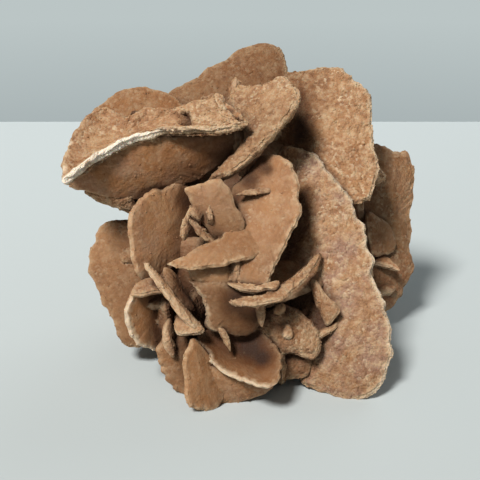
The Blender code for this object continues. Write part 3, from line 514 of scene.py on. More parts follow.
# Placed crystals: middle on the sketch plane and depth, the way that the crystal faces (compass angle
# from +X and rise, degrees), roll, half length and half width, and thickness, in millimetres. The
# stems are the plainer ones deep in the rose that the front crystals grew from.
STEMS = {
    "stem shelf": ((4, -6), -7, (270, 72), 0, 22, 20, 7),
    "stem keel": ((5, -6), -12, (4, 4), 90, 26, 20, 7),
    "stem left": ((-17, -13), -4, (248, 6), 0, 17, 15, 6),
    "stem lower left": ((-20.5, -20), -2, (4, 4), 90, 12, 11, 5),
    "stem upper": ((3, 28), -14, (350, 8), 90, 16, 15, 6),
    "stem front": ((-7, 10), 2, (356, 4), 0, 12, 6, 4),
}

PLACED = {
    "back upper": ((2, 30), -40, (85, 22), 0, 26, 20, 7),
    "back right": ((22, 12), -42, (48, 2), 80, 27, 22, 7),
    "back corner": ((-17, 18), -36, (128, 6), 70, 23, 20, 7),
    "back shelf": ((4, 4), -45, (70, 58), 25, 28, 23, 7),
    "back fin": ((-12, -6), -44, (140, 28), 60, 22, 16, 6),
    "back lower": ((8, -18), -40, (92, -26), 10, 27, 19, 7),
    "back foot left": ((-9, -15), -34, (18, 4), 90, 23, 18, 7),
    "back foot right": ((22, -14), -34, (158, 6), 90, 22, 17, 7),
    "left lower": ((-29, -8), -24, (196, 8), 90, 21, 18, 6.5),
    "left upper": ((-33, 23), -20, (190, 58), 20, 19, 15, 6.5),
    "left middle": ((-22, 20), -26, (165, -20), 60, 20, 16, 6.5),
    "right lower": ((33, -20), -16, (342, -8), 90, 22, 16, 6.5),
    "right middle": ((33, 4), -22, (12, 18), 80, 20, 16, 6.5),
    "right upper": ((29, 27), -28, (30, 55), 20, 20, 15, 6.5),
    "top fin left": ((-5, 34), -32, (182, 10), 90, 18, 16, 6),
    "top fin right": ((13, 34), -34, (28, 26), 30, 19, 15, 6),
    "under shelf": ((4, -29), -13, (270, -76), 0, 27, 16, 7),
    "under keel": ((12, -29), -12, (2, 4), 90, 14, 20, 6),
    "under fin": ((-12, -28), -7, (150, -8), 80, 17, 14, 6),
}


def rgb(hex_value):
    """A linear colour from an sRGB hex value."""
    channels = [int(hex_value[i : i + 2], 16) / 255 for i in (1, 3, 5)]
    return (*[c / 12.92 if c < 0.04045 else ((c + 0.055) / 1.055) ** 2.4 for c in channels], 1)


def add(material, kind, settings=(), links=()):
    """Adds a node to a material, with its settings and its input sockets' values or sources."""
    node = material.node_tree.nodes.new(kind)
    for name, value in dict(settings).items():
        setattr(node, name, value)
    for name, value in dict(links).items():
        if isinstance(value, bpy.types.NodeSocket):
            material.node_tree.links.new(value, node.inputs[name])
        else:
            node.inputs[name].default_value = value
    return node


def clamped(value, low=0, high=1):
    return min(max(value, low), high)


def bell(away, width):
    """1 at no distance, falling smoothly to nearly 0 at twice this width."""
    return math.exp(-((away / width) ** 2))


def mesh_object(name, solid, home):
    mesh = bpy.data.meshes.new(name)
    solid.to_mesh(mesh)
    solid.free()
    thing = bpy.data.objects.new(name, mesh)
    home.objects.link(thing)
    return thing


# ---------------------------------------------------------------- camera, light and floor


def make_camera():
    lens = bpy.data.cameras.new("camera")
    lens.sensor_width = SENSOR_WIDTH
    lens.lens = SENSOR_WIDTH * EYE_AWAY / VIEW_WIDTH
    lens.clip_start = CLIP_START
    camera = bpy.data.objects.new("camera", lens)
    bpy.context.scene.collection.objects.link(camera)
    turned = Matrix((SIGHT_RIGHT, SIGHT_UP, SIGHT_NEAR)).transposed().to_4x4()
    eye = (SKETCH_MIDDLE + EYE_AWAY * SIGHT_NEAR) * MM
    camera.matrix_world = Matrix.Translation(eye) @ turned
    bpy.context.scene.camera = camera


def make_lights():
    for name, (place, size, power, colour) in LIGHTS.items():
        lamp = bpy.data.lights.new(name, "AREA")
        lamp.shape = "DISK"
        lamp.size = size
        lamp.energy = power
        lamp.color = rgb(colour)[:3]
        light = bpy.data.objects.new(name, lamp)
        bpy.context.scene.collection.objects.link(light)
        light.location = place
        light.rotation_euler = (Vector(LIGHT_TARGET) - Vector(place)).to_track_quat("-Z", "Y").to_euler()


def shaded_along(material, coordinates, axis, reach, shades):
    """A colour that goes from one shade to the other over this reach of a coordinate."""
    place = add(material, "ShaderNodeTexCoord").outputs[coordinates]
    along = add(material, "ShaderNodeSeparateXYZ", links={"Vector": place}).outputs[axis]
    ends = {"Value": along, "From Min": reach[0], "From Max": reach[1]}
    share = add(material, "ShaderNodeMapRange", {"clamp": True}, ends).outputs["Result"]
    tints = {0: share, 6: rgb(shades[0]), 7: rgb(shades[1])}
    return add(material, "ShaderNodeMix", {"data_type": "RGBA"}, tints).outputs[2]


def make_room():
    """Soft light from all round, and a pale wall that only the camera sees, with painted light that makes it
    paler higher up.
    """
    world = bpy.data.worlds.new("room")
    bpy.context.scene.world = world
    world.use_nodes = True
    sky = world.node_tree.nodes["Background"]
    sky.inputs["Color"].default_value = rgb(SKY)
    sky.inputs["Strength"].default_value = SKY_STRENGTH
    # Painted light on the wall: darker low down, paler higher up.
    shade = shaded_along(world, "Generated", "Z", WALL_PAINTED_LIGHT_RISE, WALL_PAINTED_LIGHT_SHADES)
    wall = add(world, "ShaderNodeBackground", links={"Color": shade, "Strength": 1.0})
    seen = add(world, "ShaderNodeLightPath").outputs["Is Camera Ray"]
    both = add(world, "ShaderNodeMixShader", links={0: seen, 1: sky.outputs[0], 2: wall.outputs[0]})
    world.node_tree.links.new(both.outputs[0], world.node_tree.nodes["World Output"].inputs["Surface"])


def matt_paper():
    """Uncoated paper: no gloss at all, with painted light that makes it a little paler the further away it
    lies.
    """
    paper = bpy.data.materials.new("matt paper, pale grey")
    paper.use_nodes = True
    shader = paper.node_tree.nodes["Principled BSDF"]
    shade = shaded_along(paper, "Object", "Y", PAPER_PAINTED_LIGHT_REACH, PAPER_PAINTED_LIGHT_SHADES)
    paper.node_tree.links.new(shade, shader.inputs["Base Color"])
    shader.inputs["Roughness"].default_value = 0.9
    return paper


def make_floor():
    sheet = bmesh.new()
    bmesh.ops.create_grid(sheet, x_segments=1, y_segments=1, size=1)
    bmesh.ops.scale(sheet, vec=(FLOOR_WIDTH / 2, FLOOR_DEPTH / 2, 1), verts=sheet.verts)
    bmesh.ops.translate(sheet, vec=(0, FLOOR_BACK - FLOOR_DEPTH / 2, 0), verts=sheet.verts)
    floor = mesh_object("floor", sheet, bpy.context.scene.collection)
    floor.data.materials.append(matt_paper())


# ---------------------------------------------------------------- places and outlines


def smooth_closed(corners, count):
    """count points, evenly spaced, on a closed smooth curve through the corners, and its length."""
    steps = 12
    dense = []
    for i in range(len(corners)):
        before, start, end, after = (Vector(corners[(i + k) % len(corners)]) for k in (-1, 0, 1, 2))
        for step in range(steps):
            f = step / steps
            dense.append(
                0.5
                * (
                    2 * start
                    + (end - before) * f
                    + (2 * before - 5 * start + 4 * end - after) * f**2
                    + (3 * start - before - 3 * end + after) * f**3
                )
            )
    dense.append(dense[0])
    path = np.array(dense)
    walked = np.concatenate([[0], np.cumsum(np.linalg.norm(np.diff(path, axis=0), axis=1))])
    wanted = np.arange(count) / count * walked[-1]
    return np.stack([np.interp(wanted, walked, path[:, k]) for k in (0, 1)], axis=1), walked[-1]


def sketch_place(middle, depth):
    """The point that shows at this place on the sketch plane, at this depth towards the eye."""
    scale = 1 - depth / EYE_AWAY
    return SKETCH_MIDDLE + scale * (middle[0] * SIGHT_RIGHT + middle[1] * SIGHT_UP) + depth * SIGHT_NEAR


def drawn_frame(middle, depth, turn, lean):
    """A matrix whose X and Y lie in the crystal and whose Z points to the eye's side, at the middle."""
    facing = SIGHT_NEAR + math.tan(math.radians(turn)) * SIGHT_RIGHT + math.tan(math.radians(lean)) * SIGHT_UP
    facing.normalize()
    across = SIGHT_RIGHT - SIGHT_RIGHT.dot(facing) * facing
    across.normalize()
    axes = Matrix((across, facing.cross(across), facing)).transposed()
    return Matrix.Translation(sketch_place(middle, depth)) @ axes.to_4x4()


def laid_back(corner, frame):
    """The corner of a drawn outline, moved along its line of sight into the crystal's plane."""
    eye = SKETCH_MIDDLE + EYE_AWAY * SIGHT_NEAR
    ray = SKETCH_MIDDLE + corner[0] * SIGHT_RIGHT + corner[1] * SIGHT_UP - eye
    facing = frame.col[2].to_3d()
    hit = eye + ray * ((frame.translation - eye).dot(facing) / ray.dot(facing))
    local = frame.inverted() @ hit
    return (local.x, local.y)


def outward_at(compass, rise):
    """The unit vector at a compass angle from +X and a rise, in radians."""
    flat = math.cos(rise)
    return Vector((math.cos(compass) * flat, math.sin(compass) * flat, math.sin(rise)))


def placed_frame(middle, depth, facing, roll):
    normal = outward_at(*(math.radians(angle) for angle in facing))
    turned = normal.to_track_quat("Z", "Y").to_matrix() @ Matrix.Rotation(math.radians(roll), 3, "Z")
    return Matrix.Translation(sketch_place(middle, depth)) @ turned.to_4x4()


def sprout_place(i):
    """Frame and half length of one of the small crystals, spread over the back and the flanks."""
    chance = random.Random(i + 40)
    compass = math.radians(SPROUT_COMPASS[0] + SPROUT_COMPASS[1] * ((i * GOLDEN_SHARE) % 1))
    rise = math.radians(SPROUT_RISE[0] + SPROUT_RISE[1] * (i + 0.5) / SPROUTS)
    outward = outward_at(compass, rise)
    shell = [half + SPROUT_OUT for half in CORE_HALF_SIZES]
    place = Vector(CORE_CENTRE) + Vector((*TO_ORIGIN, 0)) + Vector([outward[k] * shell[k] for k in range(3)])
    side = outward.orthogonal().normalized()
    facing = Matrix.Rotation(chance.uniform(0, math.tau), 3, outward) @ (side + SPROUT_LEAN_OUT * outward)
    roll = Matrix.Rotation(chance.uniform(0, math.tau), 3, "Z")
    turned = facing.to_track_quat("Z", "Y").to_matrix() @ roll
    return Matrix.Translation(place) @ turned.to_4x4(), chance.uniform(*SPROUT_HALF_LENGTHS)


def lobed_outline(half_length, half_width, seed):
    """Corners of a rounded outline with a few broad lobes and some lesser ones between them."""
    corners = []
    for i in range(OUTLINE_CORNERS):
        angle = math.tau * i / OUTLINE_CORNERS
        round_part = Vector((math.cos(angle), math.sin(angle), seed * 3.7))
        swell = 1
        for closeness, size in LOBES:
            swell += size * noise.noise(closeness * round_part)
        corners.append((half_length * swell * math.cos(angle), half_width * swell * math.sin(angle)))
    return corners


# ---------------------------------------------------------------- one crystal


def waver(x, y, seed, pitch):
    """Smooth random relief between about -1 and 1, with lumps this far apart."""
    return 1.6 * noise.noise(Vector((x / pitch, y / pitch, seed * 7.31)))


def ring_place(x, y):
    """How far out a grid point is, 0 to 1, and how far round its square ring it lies, 0 to 1."""
    tiny = 1e-9
    share = max(abs(x), abs(y))
    if share < tiny:
        return 0.0, 0.0
    if x >= share - tiny and y > -share + tiny:
        turn = 1 + y / share
    elif y >= share - tiny:
        turn = 3 - x / share
    elif x <= -share + tiny:
        turn = 5 - y / share
    else:
        turn = 7 + x / share
    return share, turn / 8 % 1


def bitten_rim(outline, count, grain, seed):
    """Points round the rim as drawn and as worn, the way out at each, its length and how bold it is."""
    rim, length = smooth_closed(outline, count)
    ahead = np.roll(rim, -2, axis=0) - np.roll(rim, 2, axis=0)
    outward = np.stack([ahead[:, 1], -ahead[:, 0]], axis=1)
    outward /= np.linalg.norm(outward, axis=1, keepdims=True)
    if np.sum(rim * outward) < 0:
        outward = -outward
    wave = RIM_WAVE * (SMOOTH_WAVES + (1 - SMOOTH_WAVES) * grain)
    bites = [
        wave * waver(x, y, seed, RIM_WAVE_PITCH)
        + RIM_GRIT * (waver(x, y, seed + 0.5, RIM_GRIT_PITCH) - RIM_GRIT_INWARD)
        for x, y in rim
    ]
    ends = np.roll(rim, -1, axis=0)
    breadth = abs(np.sum(rim[:, 0] * ends[:, 1] - rim[:, 1] * ends[:, 0])) / length
    boldness = min(1, breadth / BOLD_BREADTH)
    bitten = rim + outward * np.minimum(np.array(bites), RIM_OUT_MOST)[:, None] * boldness
    return rim, bitten, outward, length, boldness


def sheet_slab(segments, cuts):
    """A square sheet that is extruded into a slab, 1 thick, with its walls cut across."""
    slab = bmesh.new()
    bmesh.ops.create_grid(slab, x_segments=segments, y_segments=segments, size=1)
    under = bmesh.ops.extrude_face_region(slab, geom=slab.faces[:])
    under_verts = [item for item in under["geom"] if isinstance(item, bmesh.types.BMVert)]
    bmesh.ops.translate(slab, vec=(0, 0, -1), verts=under_verts)
    walls = [e for e in slab.edges if abs(e.verts[0].co.z - e.verts[1].co.z) > 0.5]
    bmesh.ops.subdivide_edges(slab, edges=walls, cuts=cuts, use_grid_fill=False)
    return slab


def spread_out(slab, rim, bitten, outward, edge):
    """Per vertex: its place in the crystal's plane, its distance from the rim, how far down it is,
    how far out and round, and the way out of the nearest rim."""
    count = len(rim)
    share, turn = np.array([ring_place(v.co.x, v.co.y) for v in slab.verts]).T
    down = -np.array([v.co.z for v in slab.verts])
    spot = turn * count
    first = np.floor(spot + TINY).astype(int) % count
    part = (spot - np.floor(spot + TINY))[:, None]
    second = (first + 1) % count
    plain = rim[first] * (1 - part) + rim[second] * part
    worn = bitten[first] * (1 - part) + bitten[second] * part
    flat = plain * share[:, None] + (worn - plain) * (share**8)[:, None]
    on_rim = share > 1 - TINY
    tuck = RIM_ROUND * edge * (2 * down - 1) ** 2
    flat -= outward[first] * np.where(on_rim, tuck, 0)[:, None]
    rim_points = worn[on_rim & (down < 0.01)]
    from_rim = np.min(np.linalg.norm(flat[:, None, :] - rim_points[None, :, :], axis=2), axis=1)
    from_rim[on_rim] = 0
    return flat, from_rim, down, share, turn, outward[first]


def relief_at(x, y, inward, down, along, grain, boldness, seed):
    """How far a face stands out at a place, and the grit in it, which rough crust follows too."""
    near = math.exp(-inward / NEAR_RIM)
    wander = STEP_WANDER * waver(x, y, seed + 3, STEP_WANDER_PITCH)
    steps = math.sin(math.tau * (inward + wander) / STEP_PITCH)
    ribs = waver(along / RIB_PITCH, inward / NEAR_RIM, seed + 4, 1)
    grit = waver(x, y, seed + 5 + down, GRAIN_PITCH)
    relief = SWELL_RELIEF * boldness * waver(x, y, seed + 6 + 3 * down, SWELL_PITCH) * (1 - near)
    lumps = LUMP_RELIEF * boldness * waver(x, y, seed + 8 + 3 * down, LUMP_PITCH)
    relief += lumps * (SMOOTH_LUMPS + grain)
    relief += STEP_RELIEF * steps * near * (SMOOTH_STEPS + SANDY_STEPS * grain)
    relief += RIB_RELIEF * ribs * near * (SMOOTH_RIBS + grain)
    return relief + GRAIN_RELIEF * grit * (SMOOTH_GRAINS + grain), grit


def crystal_solid(name, frame, outline, thick, edge, bow, spacing, finish, seed):
    """A bmesh of one lens-shaped crystal, in millimetres, with each vertex's (crust, rim, tone with painted
    shade).

    A slab's rings of vertices are spread from the middle to the rim. Growth steps run along the rim,
    ribs run across it, and grains lie on everything. Crust grew on the rims that open to the front.
    """
    breadth_across = smooth_closed(outline, 64)[1] / 4
    segments = max(6, 2 * round(breadth_across / spacing / 2))
    _, _, grain, crust, tone_and_shade = finish
    rim, bitten, outward, length, boldness = bitten_rim(outline, 4 * segments, grain, seed)
    reach = np.linalg.norm(rim, axis=1).max()
    shade_across, shade_up, shade_slope_amount = PAINTED_SHADE_SLOPES.get(name, (0, 0, 0))
    bowl, ridge, roll, fade = BOWLED.get(name, (0, 0, 0, 0))
    pit, pit_radius, pit_depth = PITS.get(name, ((0, 0), 1, 0))
    pit = laid_back(pit, frame) if pit_depth else pit
    painted_shadow_spots = [(*laid_back(spot, frame), radius) for spot, radius in PAINTED_SHADOWS.get(name, ())]
    crust_side = CRUST_TOWARDS.get(name, CRUST_SIDE)

    slab = sheet_slab(segments, max(1, round(edge / spacing) - 1))
    flat, from_rim, down, share, turn, side = spread_out(slab, rim, bitten, outward, edge)
    front_rise = FRONT_SHARE * (thick - edge)
    lens = 1 - (1 - np.minimum(from_rim / (SWELL_SHARE * reach), 1)) ** 2
    turned = frame.to_3x3()
    looks = []
    rows = zip(slab.verts, flat, from_rim, down, share, turn, lens, side)
    for vert, (x, y), d, f, s, t, swell, out in rows:
        relief, grit = relief_at(x, y, d, f, t * length, grain, boldness, seed)
        points = turned @ Vector((*out, 0))
        open_side = points.dot(crust_side) + CRUST_PATCHES * waver(x, y, seed + 9, CRUST_PATCH_PITCH)
        crusted = crust * clamped(CRUST_GAIN * open_side) * bell(d, CRUST_WIDTH)
        if fade:
            crusted *= clamped((fade - x) / CRUST_FADE, CRUST_LEAST) * (1 - (1 - CRUST_LEAST) * f)
        crusted = min(crusted, 1)
        pitted = bell(math.hypot(x - pit[0], y - pit[1]), pit_radius) if pit_depth else 0
        # Painted shade: the tone darkens towards the crystal's shaded side and in its pit.
        tone_and_painted_shade = tone_and_shade + shade_slope_amount * (shade_across * x + shade_up * y) / reach + pitted
        # Painted shadow spots darken the tone further.
        gathered = (bell(math.hypot(x - across, y - up), radius) for across, up, radius in painted_shadow_spots)
        tone_and_painted_shade += PAINTED_SHADOW_STRENGTH * sum(gathered)
        looks.append((crusted, bell(d, RIM_WIDTH), clamped(tone_and_painted_shade, 0, 2)))
        relief += CRUST_RELIEF * crusted * max(0, grit + 0.3)
        bowed = bow * (s * math.hypot(x, y) / reach) ** 2
        thinned = RIM_THIN * edge * math.exp(-d / RIM_THIN_WIDTH)
        if f < 0.01:
            height = front_rise * swell + bowed + relief - thinned
            height -= bowl * (1 - bell(d, BOWL_WALL)) + pit_depth * pitted
            bumps = RIDGE_LEAST + RIDGE_BUMPS * waver(x, y, seed + 11, RIDGE_PITCH)
            height += ridge * bumps * clamped(2 * points.y) * bell(d - RIDGE_PLACE[0], RIDGE_PLACE[1])
            height += roll * clamped(-2 * points.y) * bell(d - ROLL_PLACE[0], ROLL_PLACE[1])
        elif f > 0.99:
            height = -edge - (thick - edge - front_rise) * swell + bowed - relief + thinned
        else:
            height = -edge * f + bowed - thinned * (1 - 2 * f)
        vert.co = frame @ Vector((x, y, height))
    bmesh.ops.recalc_face_normals(slab, faces=slab.faces)
    if slab.calc_volume(signed=True) < 0:
        bmesh.ops.reverse_faces(slab, faces=slab.faces)
    return slab, looks


def core_solid():
    solid = bmesh.new()
    bmesh.ops.create_icosphere(solid, subdivisions=4, radius=1)
    for vert in solid.verts:
        lump = 1 + CORE_LUMPS / CORE_HALF_SIZES[1] * noise.noise(vert.co * CORE_LUMP_CLOSENESS)
        vert.co = Vector((vert.co[i] * CORE_HALF_SIZES[i] * lump + CORE_CENTRE[i] for i in range(3)))
        vert.co += Vector((*TO_ORIGIN, 0))
    return solid


# ---------------------------------------------------------------- the whole cluster


def placed_finish(seed):
    """The looks of a crystal at the back: some are warm and smooth, others pale and full of sand."""
    chance = random.Random(seed + 70)
    low, high = PLACED_FINISH_RANGE
    return tuple(chance.uniform(a, b) for a, b in zip(low, high))


def crystals():
    """(name, frame, outline, thick, edge, bow, spacing, finish) of every crystal of the rose."""
    for drawn, spacing in ((LARGE_DRAWN, FINE), (SMALL_DRAWN, FINEST)):
        for name, (middle, depth, turn, lean, thick, edge, bow, finish, corners) in drawn.items():
            frame = drawn_frame(middle, depth, turn, lean)
            outline = [laid_back(corner, frame) for corner in zip(corners[::2], corners[1::2])]
            yield name, frame, outline, thick, edge, bow, spacing, finish
    seed = len(LARGE_DRAWN) + len(SMALL_DRAWN)
    for placed, spacing in ((STEMS, COARSEST), (PLACED, COARSE)):
        for name, (middle, depth, facing, roll, half_length, half_width, thick) in placed.items():
            seed += 1
            frame = placed_frame(middle, depth, facing, roll)
            outline = lobed_outline(half_length, half_width, seed)
            yield name, frame, outline, thick, PLACED_EDGE_SHARE * thick, 0, spacing, placed_finish(seed)
    thin_edge = PLACED_EDGE_SHARE * SPROUT_THICK
    for i in range(SPROUTS):
        seed += 1
        frame, half_length = sprout_place(i)
        outline = lobed_outline(half_length, half_length * SPROUT_WIDTH_SHARE, seed)
        yield "sprout", frame, outline, SPROUT_THICK, thin_edge, 0, COARSE, placed_finish(seed)


def largest_skin(solid):
    """Deletes every closed skin but the largest: the others line hollows that nothing opens."""
    waiting = set(solid.verts)
    islands = []
    while waiting:
        front = [waiting.pop()]
        island = list(front)
        while front:
            near = {edge.other_vert(vert) for vert in front for edge in vert.link_edges} & waiting
            waiting -= near
            front = list(near)
            island += front
        islands.append(island)
    largest = max(islands, key=len)
    bmesh.ops.delete(solid, geom=[vert for island in islands if island is not largest for vert in island])


def folded_slivers_gone(solid):
    """Deletes pairs of faces that lie back to back on the same three vertices."""
    same = {}
    for face in solid.faces:
        same.setdefault(frozenset(face.verts), []).append(face)
    folded = [face for faces in same.values() if len(faces) > 1 for face in faces]
    bmesh.ops.delete(solid, geom=folded, context="FACES")


def sheltered(skin):
    """How much of the way out of each vertex the rose's own crystals close, 0 to 1, which sets the painted
    shade in the hollows.
    """
    tree = BVHTree.FromBMesh(skin)
    looks = []
    for i in range(SHELTER_LOOKS):
        rise = math.sqrt((i + 0.5) / SHELTER_LOOKS)
        turn = math.tau * i * GOLDEN_SHARE
        flat = math.sqrt(1 - rise**2)
        looks.append(Vector((flat * math.cos(turn), flat * math.sin(turn), rise)))
    closed = []
    for vert in skin.verts:
        turned = vert.normal.to_track_quat("Z", "Y").to_matrix()
        start = vert.co + SHELTER_START * vert.normal
        met = (tree.ray_cast(start, turned @ look, SHELTER_REACH)[3] for look in looks)
        shut = (1 - 0.5 * away / SHELTER_REACH for away in met if away is not None)
        closed.append(sum(shut) / SHELTER_LOOKS)
    for _ in range(2):
        closed = [
            (closed[vert.index] + sum(closed[edge.other_vert(vert).index] for edge in vert.link_edges))
            / (1 + len(vert.link_edges))
            for vert in skin.verts
        ]
    return closed


def fused(rose, raw):
    """A bmesh of the core with all crystals grown into it, cut level where it stands."""
    fuse = rose.modifiers.new("grown together", "BOOLEAN")
    fuse.operation = "UNION"
    fuse.operand_type = "COLLECTION"
    fuse.collection = raw
    fuse.solver = "MANIFOLD"
    ground = bmesh.new()
    lowered = Matrix.Translation((0, 0, -GROUND_SIZE / 2))
    bmesh.ops.create_cube(ground, size=GROUND_SIZE, matrix=lowered)
    below = mesh_object("ground", ground, bpy.context.scene.collection)
    flats = rose.modifiers.new("worn flats", "BOOLEAN")
    flats.operation = "DIFFERENCE"
    flats.object = below
    flats.solver = "MANIFOLD"

    shaped = rose.evaluated_get(bpy.context.evaluated_depsgraph_get())
    skin = bmesh.new()
    skin.from_mesh(shaped.data)
    rose.modifiers.clear()
    for thing in [*raw.objects, below]:
        bpy.data.objects.remove(thing, do_unlink=True)
    bpy.data.collections.remove(raw)
    largest_skin(skin)
    bmesh.ops.triangulate(skin, faces=skin.faces)
    folded_slivers_gone(skin)
    skin.normal_update()
    skin.verts.index_update()
    return skin


def kept_inside(verts, low, high):
    for vert in verts:
        vert.co = [clamped(vert.co[k], low[k], high[k]) for k in range(3)]


def grown_together():
    """The rose and its sand grains. Each vertex of the fused skin takes its looks from the crystal
    vertex that it came from, or from the nearest one."""
    scene = bpy.context.scene
    raw = bpy.data.collections.new("raw crystals")
    scene.collection.children.link(raw)
    sources = []
    for seed, (name, frame, outline, thick, edge, bow, spacing, finish) in enumerate(crystals(), 1):
        solid, looks = crystal_solid(name, frame, outline, thick, edge, bow, spacing, finish, seed)
        sources += [(vert.co.copy(), look, finish) for vert, look in zip(solid.verts, looks)]
        mesh_object(f"crystal {seed}", solid, raw)
    core = core_solid()
    sources += [(vert.co.copy(), (0.0, 0.0, PLAIN_FINISH[4]), PLAIN_FINISH) for vert in core.verts]
    rose = mesh_object("gypsum_crystals", core, scene.collection)
    skin = fused(rose, raw)

    tree = kdtree.KDTree(len(sources))
    for i, (place, _, _) in enumerate(sources):
        tree.insert(place, i)
    tree.balance()
    layers = [skin.verts.layers.float.new(name) for name in LOOKS]
    finish_layer = skin.verts.layers.float_vector.new("finish")
    # How closed in each vertex is, for the painted shade in the hollows.
    for vert, hollow_shade in zip(skin.verts, sheltered(skin)):
        _, i, _ = tree.find(vert.co)
        _, look, finish = sources[i]
        for layer, value in zip(layers, (*look, hollow_shade)):
            vert[layer] = value
        vert[finish_layer] = finish[:3]
    kept_inside(skin.verts, CAD_LOW / MM, CAD_HIGH / MM)
    bmesh.ops.scale(skin, vec=(MM, MM, MM), verts=skin.verts)
    skin.to_mesh(rose.data)
    grains = sand_grains(skin)
    skin.free()
    return rose, grains


def by_place(vert):
    return [round(along, 6) for along in vert.co]


def grain_matrix(host, chance):
    """The place, turn and half sizes of a grain that is half sunk in the skin by this vertex."""
    other = chance.choice(sorted((edge.other_vert(host) for edge in host.link_edges), key=by_place))
    place = host.co.lerp(other.co, chance.uniform(0, 0.5))
    half = chance.uniform(*GRAIN_HALF_LENGTHS) * MM
    width, height = half * chance.uniform(*GRAIN_WIDTHS), half * chance.uniform(*GRAIN_HEIGHTS)
    shape = Matrix.Diagonal((half, width, height, 1))
    stands = host.normal.to_track_quat("Z", "Y").to_matrix().to_4x4()
    tip = Matrix.Rotation(chance.uniform(-GRAIN_TIP, GRAIN_TIP), 4, "X")
    roll = Matrix.Rotation(chance.uniform(0, math.tau), 4, "Z")
    sunk = Matrix.Translation(place - GRAIN_SUNK * half * host.normal)
    return sunk @ stands @ (tip @ roll) @ shape


def sand_grains(skin):
    """Small angular grains half sunk in the faces, most on the sandy crystals and along the rims.

    The fused skin's vertices come in a slightly different order each time, so they are sorted, and
    each grain draws from its own seed.
    """
    sources = [skin.verts.layers.float[name] for name in LOOKS]
    finish_source = skin.verts.layers.float_vector["finish"]
    rim_source = skin.verts.layers.float["rim"]
    verts = sorted(skin.verts, key=by_place)
    wanted = [
        (GRAINS_ON_PLAIN + vert[finish_source].z ** 2 + GRAINS_ON_RIM * vert[rim_source])
        * sum(face.calc_area() for face in vert.link_faces)
        for vert in verts
    ]
    hosts = random.Random(5).choices(verts, weights=wanted, k=GRAINS)
    solid = bmesh.new()
    for start in range(0, GRAINS, GRAINS_AT_ONCE):
        batch = bmesh.new()
        for number, host in enumerate(hosts[start : start + GRAINS_AT_ONCE], start):
            place = grain_matrix(host, random.Random(number))
            bmesh.ops.create_icosphere(batch, subdivisions=1, radius=1, matrix=place)
        some = bpy.data.meshes.new("some grains")
        batch.to_mesh(some)
        batch.free()
        solid.from_mesh(some)
        bpy.data.meshes.remove(some)
    layers = [solid.verts.layers.float.new(name) for name in LOOKS]
    finish_layer = solid.verts.layers.float_vector.new("finish")
    solid.verts.index_update()
    for vert in solid.verts:
        host = hosts[vert.index // GRAIN_CORNERS]
        for layer, source in zip(layers, sources):
            vert[layer] = host[source]
        vert[finish_layer] = host[finish_source]
    kept_inside(solid.verts, CAD_LOW, CAD_HIGH)
    return mesh_object("sand_grains", solid, bpy.context.scene.collection)


# ---------------------------------------------------------------- the gypsum


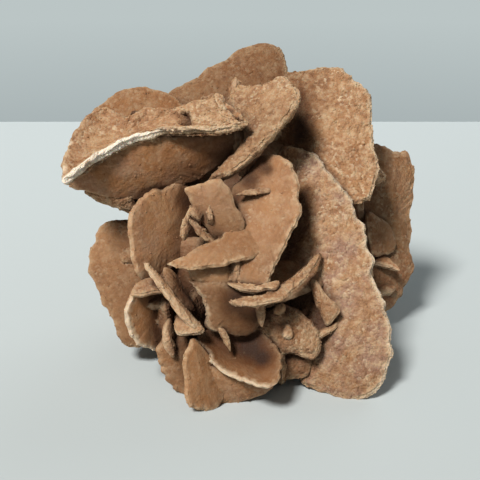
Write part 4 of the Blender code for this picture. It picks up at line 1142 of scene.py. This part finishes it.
def sandy_gypsum():
    """Gypsum that grew in desert sand: matt tan faces full of sand grains, iron-stained in places,
    with a paler sugary crust of new gypsum on the open rims, painted shade in the hollows and on the
    crystals and sides that lie in shade, and a faint glow where it is thin."""
    stone = bpy.data.materials.new("gypsum, sand-filled, natural faces")
    stone.use_nodes = True
    shader = stone.node_tree.nodes["Principled BSDF"]
    place = add(stone, "ShaderNodeTexCoord").outputs["Object"]

    def marked(name, output="Fac"):
        return add(stone, "ShaderNodeAttribute", {"attribute_name": name}).outputs[output]

    def noise_of(pitch, detail=2.0, roughness=0.5):
        links = {"Vector": place, "Scale": 1 / (pitch * MM), "Detail": detail, "Roughness": roughness}
        return add(stone, "ShaderNodeTexNoise", links=links).outputs["Fac"]

    def ramp(value, low, high, to_low=0.0, to_high=1.0):
        links = {"Value": value, "From Min": low, "From Max": high, "To Min": to_low, "To Max": to_high}
        return add(stone, "ShaderNodeMapRange", {"clamp": True}, links).outputs["Result"]

    def maths(operation, a, b, clamp=True):
        settings = {"operation": operation, "use_clamp": clamp}
        return add(stone, "ShaderNodeMath", settings, {0: a, 1: b}).outputs[0]

    def mixed(share, first, second, blend="MIX"):
        settings = {"data_type": "RGBA", "blend_type": blend}
        return add(stone, "ShaderNodeMix", settings, {0: share, 6: first, 7: second}).outputs[2]

    finish = add(stone, "ShaderNodeSeparateXYZ", links={"Vector": marked("finish", "Vector")})
    warm, dusk, grain = (finish.outputs[axis] for axis in "XYZ")
    crust, rim, tone_and_shade, hollow_shade = (marked(name) for name in LOOKS)
    blotch = noise_of(BLOTCH_PITCH, 2.0, 0.6)
    sugar = noise_of(SUGAR_PITCH, 2.0, 0.6)
    cells = add(stone, "ShaderNodeTexVoronoi", links={"Vector": place, "Scale": 1 / (SAND_SIZE * MM)})
    sand = add(stone, "ShaderNodeSeparateColor", links={0: cells.outputs["Color"]}).outputs[0]
    rounded = ramp(cells.outputs["Distance"], 0, 0.7, 1, 0)

    colour = mixed(ramp(noise_of(BROAD_PITCH), 0.35, 0.65), rgb(TAN), rgb(TAN_DEEP))
    stained = maths("MULTIPLY", ramp(noise_of(STAIN_PITCH, 3.0), 0.3, 0.56), ramp(warm, 0, 1, 0, 0.85))
    colour = mixed(stained, colour, rgb(IRON_STAIN))
    greyed = maths("MULTIPLY", ramp(noise_of(DUSK_PITCH), 0.40, 0.62), dusk)
    colour = mixed(greyed, colour, rgb(DUSK_SAND))
    dark_sand = maths("MULTIPLY", ramp(blotch, 0.46, 0.3), ramp(grain, 0, 1, 0.1, 0.5))
    colour = mixed(dark_sand, colour, rgb(DARK_SAND))
    pale_sand = maths("MULTIPLY", ramp(blotch, 0.48, 0.7), ramp(grain, 0, 1, 0.1, 0.8))
    colour = mixed(pale_sand, colour, rgb(PALE_SAND))
    crowded = ramp(noise_of(GATHERED_PITCH), 0.4, 0.6, 0.3, 1)
    gathered = maths("MULTIPLY", crowded, ramp(grain, 0, 1, 0.1, 0.58))
    colour = mixed(maths("MULTIPLY", ramp(sand, 0.7, 1), gathered), colour, rgb(PALE_GRAIN))
    colour = mixed(maths("MULTIPLY", ramp(sand, 0.25, 0), gathered), colour, rgb(DARK_SAND))
    # Tone with painted shade: the crystals and sides that lie in shade are painted browner.
    colour = mixed(tone_and_shade, colour, BROWN_AND_SHADE_FILTER, "MULTIPLY")
    # Painted shadow: the darkest spots go nearly black.
    colour = mixed(ramp(tone_and_shade, 1, 2, 0, 0.85), colour, rgb(PAINTED_SHADOW_BLACK))
    worn = maths("MULTIPLY", rim, ramp(blotch, 0.35, 0.65, 0.1, 0.55))
    colour = mixed(worn, colour, rgb(PALE_SAND))
    new_gypsum = mixed(maths("MULTIPLY", crust, crust), rgb(PALE_SAND), rgb(CRUST_WHITE))
    crusted = maths("ADD", maths("MULTIPLY", blotch, 0.7, False), crust, False)
    colour = mixed(ramp(crusted, 0.5, 0.9), colour, new_gypsum)
    # Painted shade: the hollows are painted dark brown.
    colour = mixed(ramp(hollow_shade, 0.16, 0.6, 0, 0.88), colour, rgb(HOLLOW_SHADE_COLOUR))
    stone.node_tree.links.new(colour, shader.inputs["Base Color"])

    stone.node_tree.links.new(ramp(sugar, 0.3, 0.7, 0.62, 0.92), shader.inputs["Roughness"])
    shader.inputs["Specular IOR Level"].default_value = 0.25
    shader.inputs["IOR"].default_value = 1.52
    shader.inputs["Subsurface Weight"].default_value = 0.15
    shader.inputs["Subsurface Radius"].default_value = (1.0, 0.45, 0.2)
    shader.inputs["Subsurface Scale"].default_value = GLOW_DEPTH * MM

    grainy = maths("MULTIPLY", rounded, ramp(grain, 0, 1, 0.12, 1.2), False)
    height = maths("ADD", grainy, maths("MULTIPLY", sugar, 0.35, False), False)
    bump_links = {"Height": height, "Strength": 0.9, "Distance": BUMP_HEIGHT * MM}
    bump = add(stone, "ShaderNodeBump", links=bump_links).outputs["Normal"]
    stone.node_tree.links.new(bump, shader.inputs["Normal"])
    return stone


make_camera()
make_lights()
make_room()
make_floor()
bpy.context.scene.view_settings.view_transform = "Standard"

rose, grains = grown_together()
stone = sandy_gypsum()
for piece in (rose, grains):
    piece.data.materials.append(stone)
    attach(piece, "root")
    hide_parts(NODE)
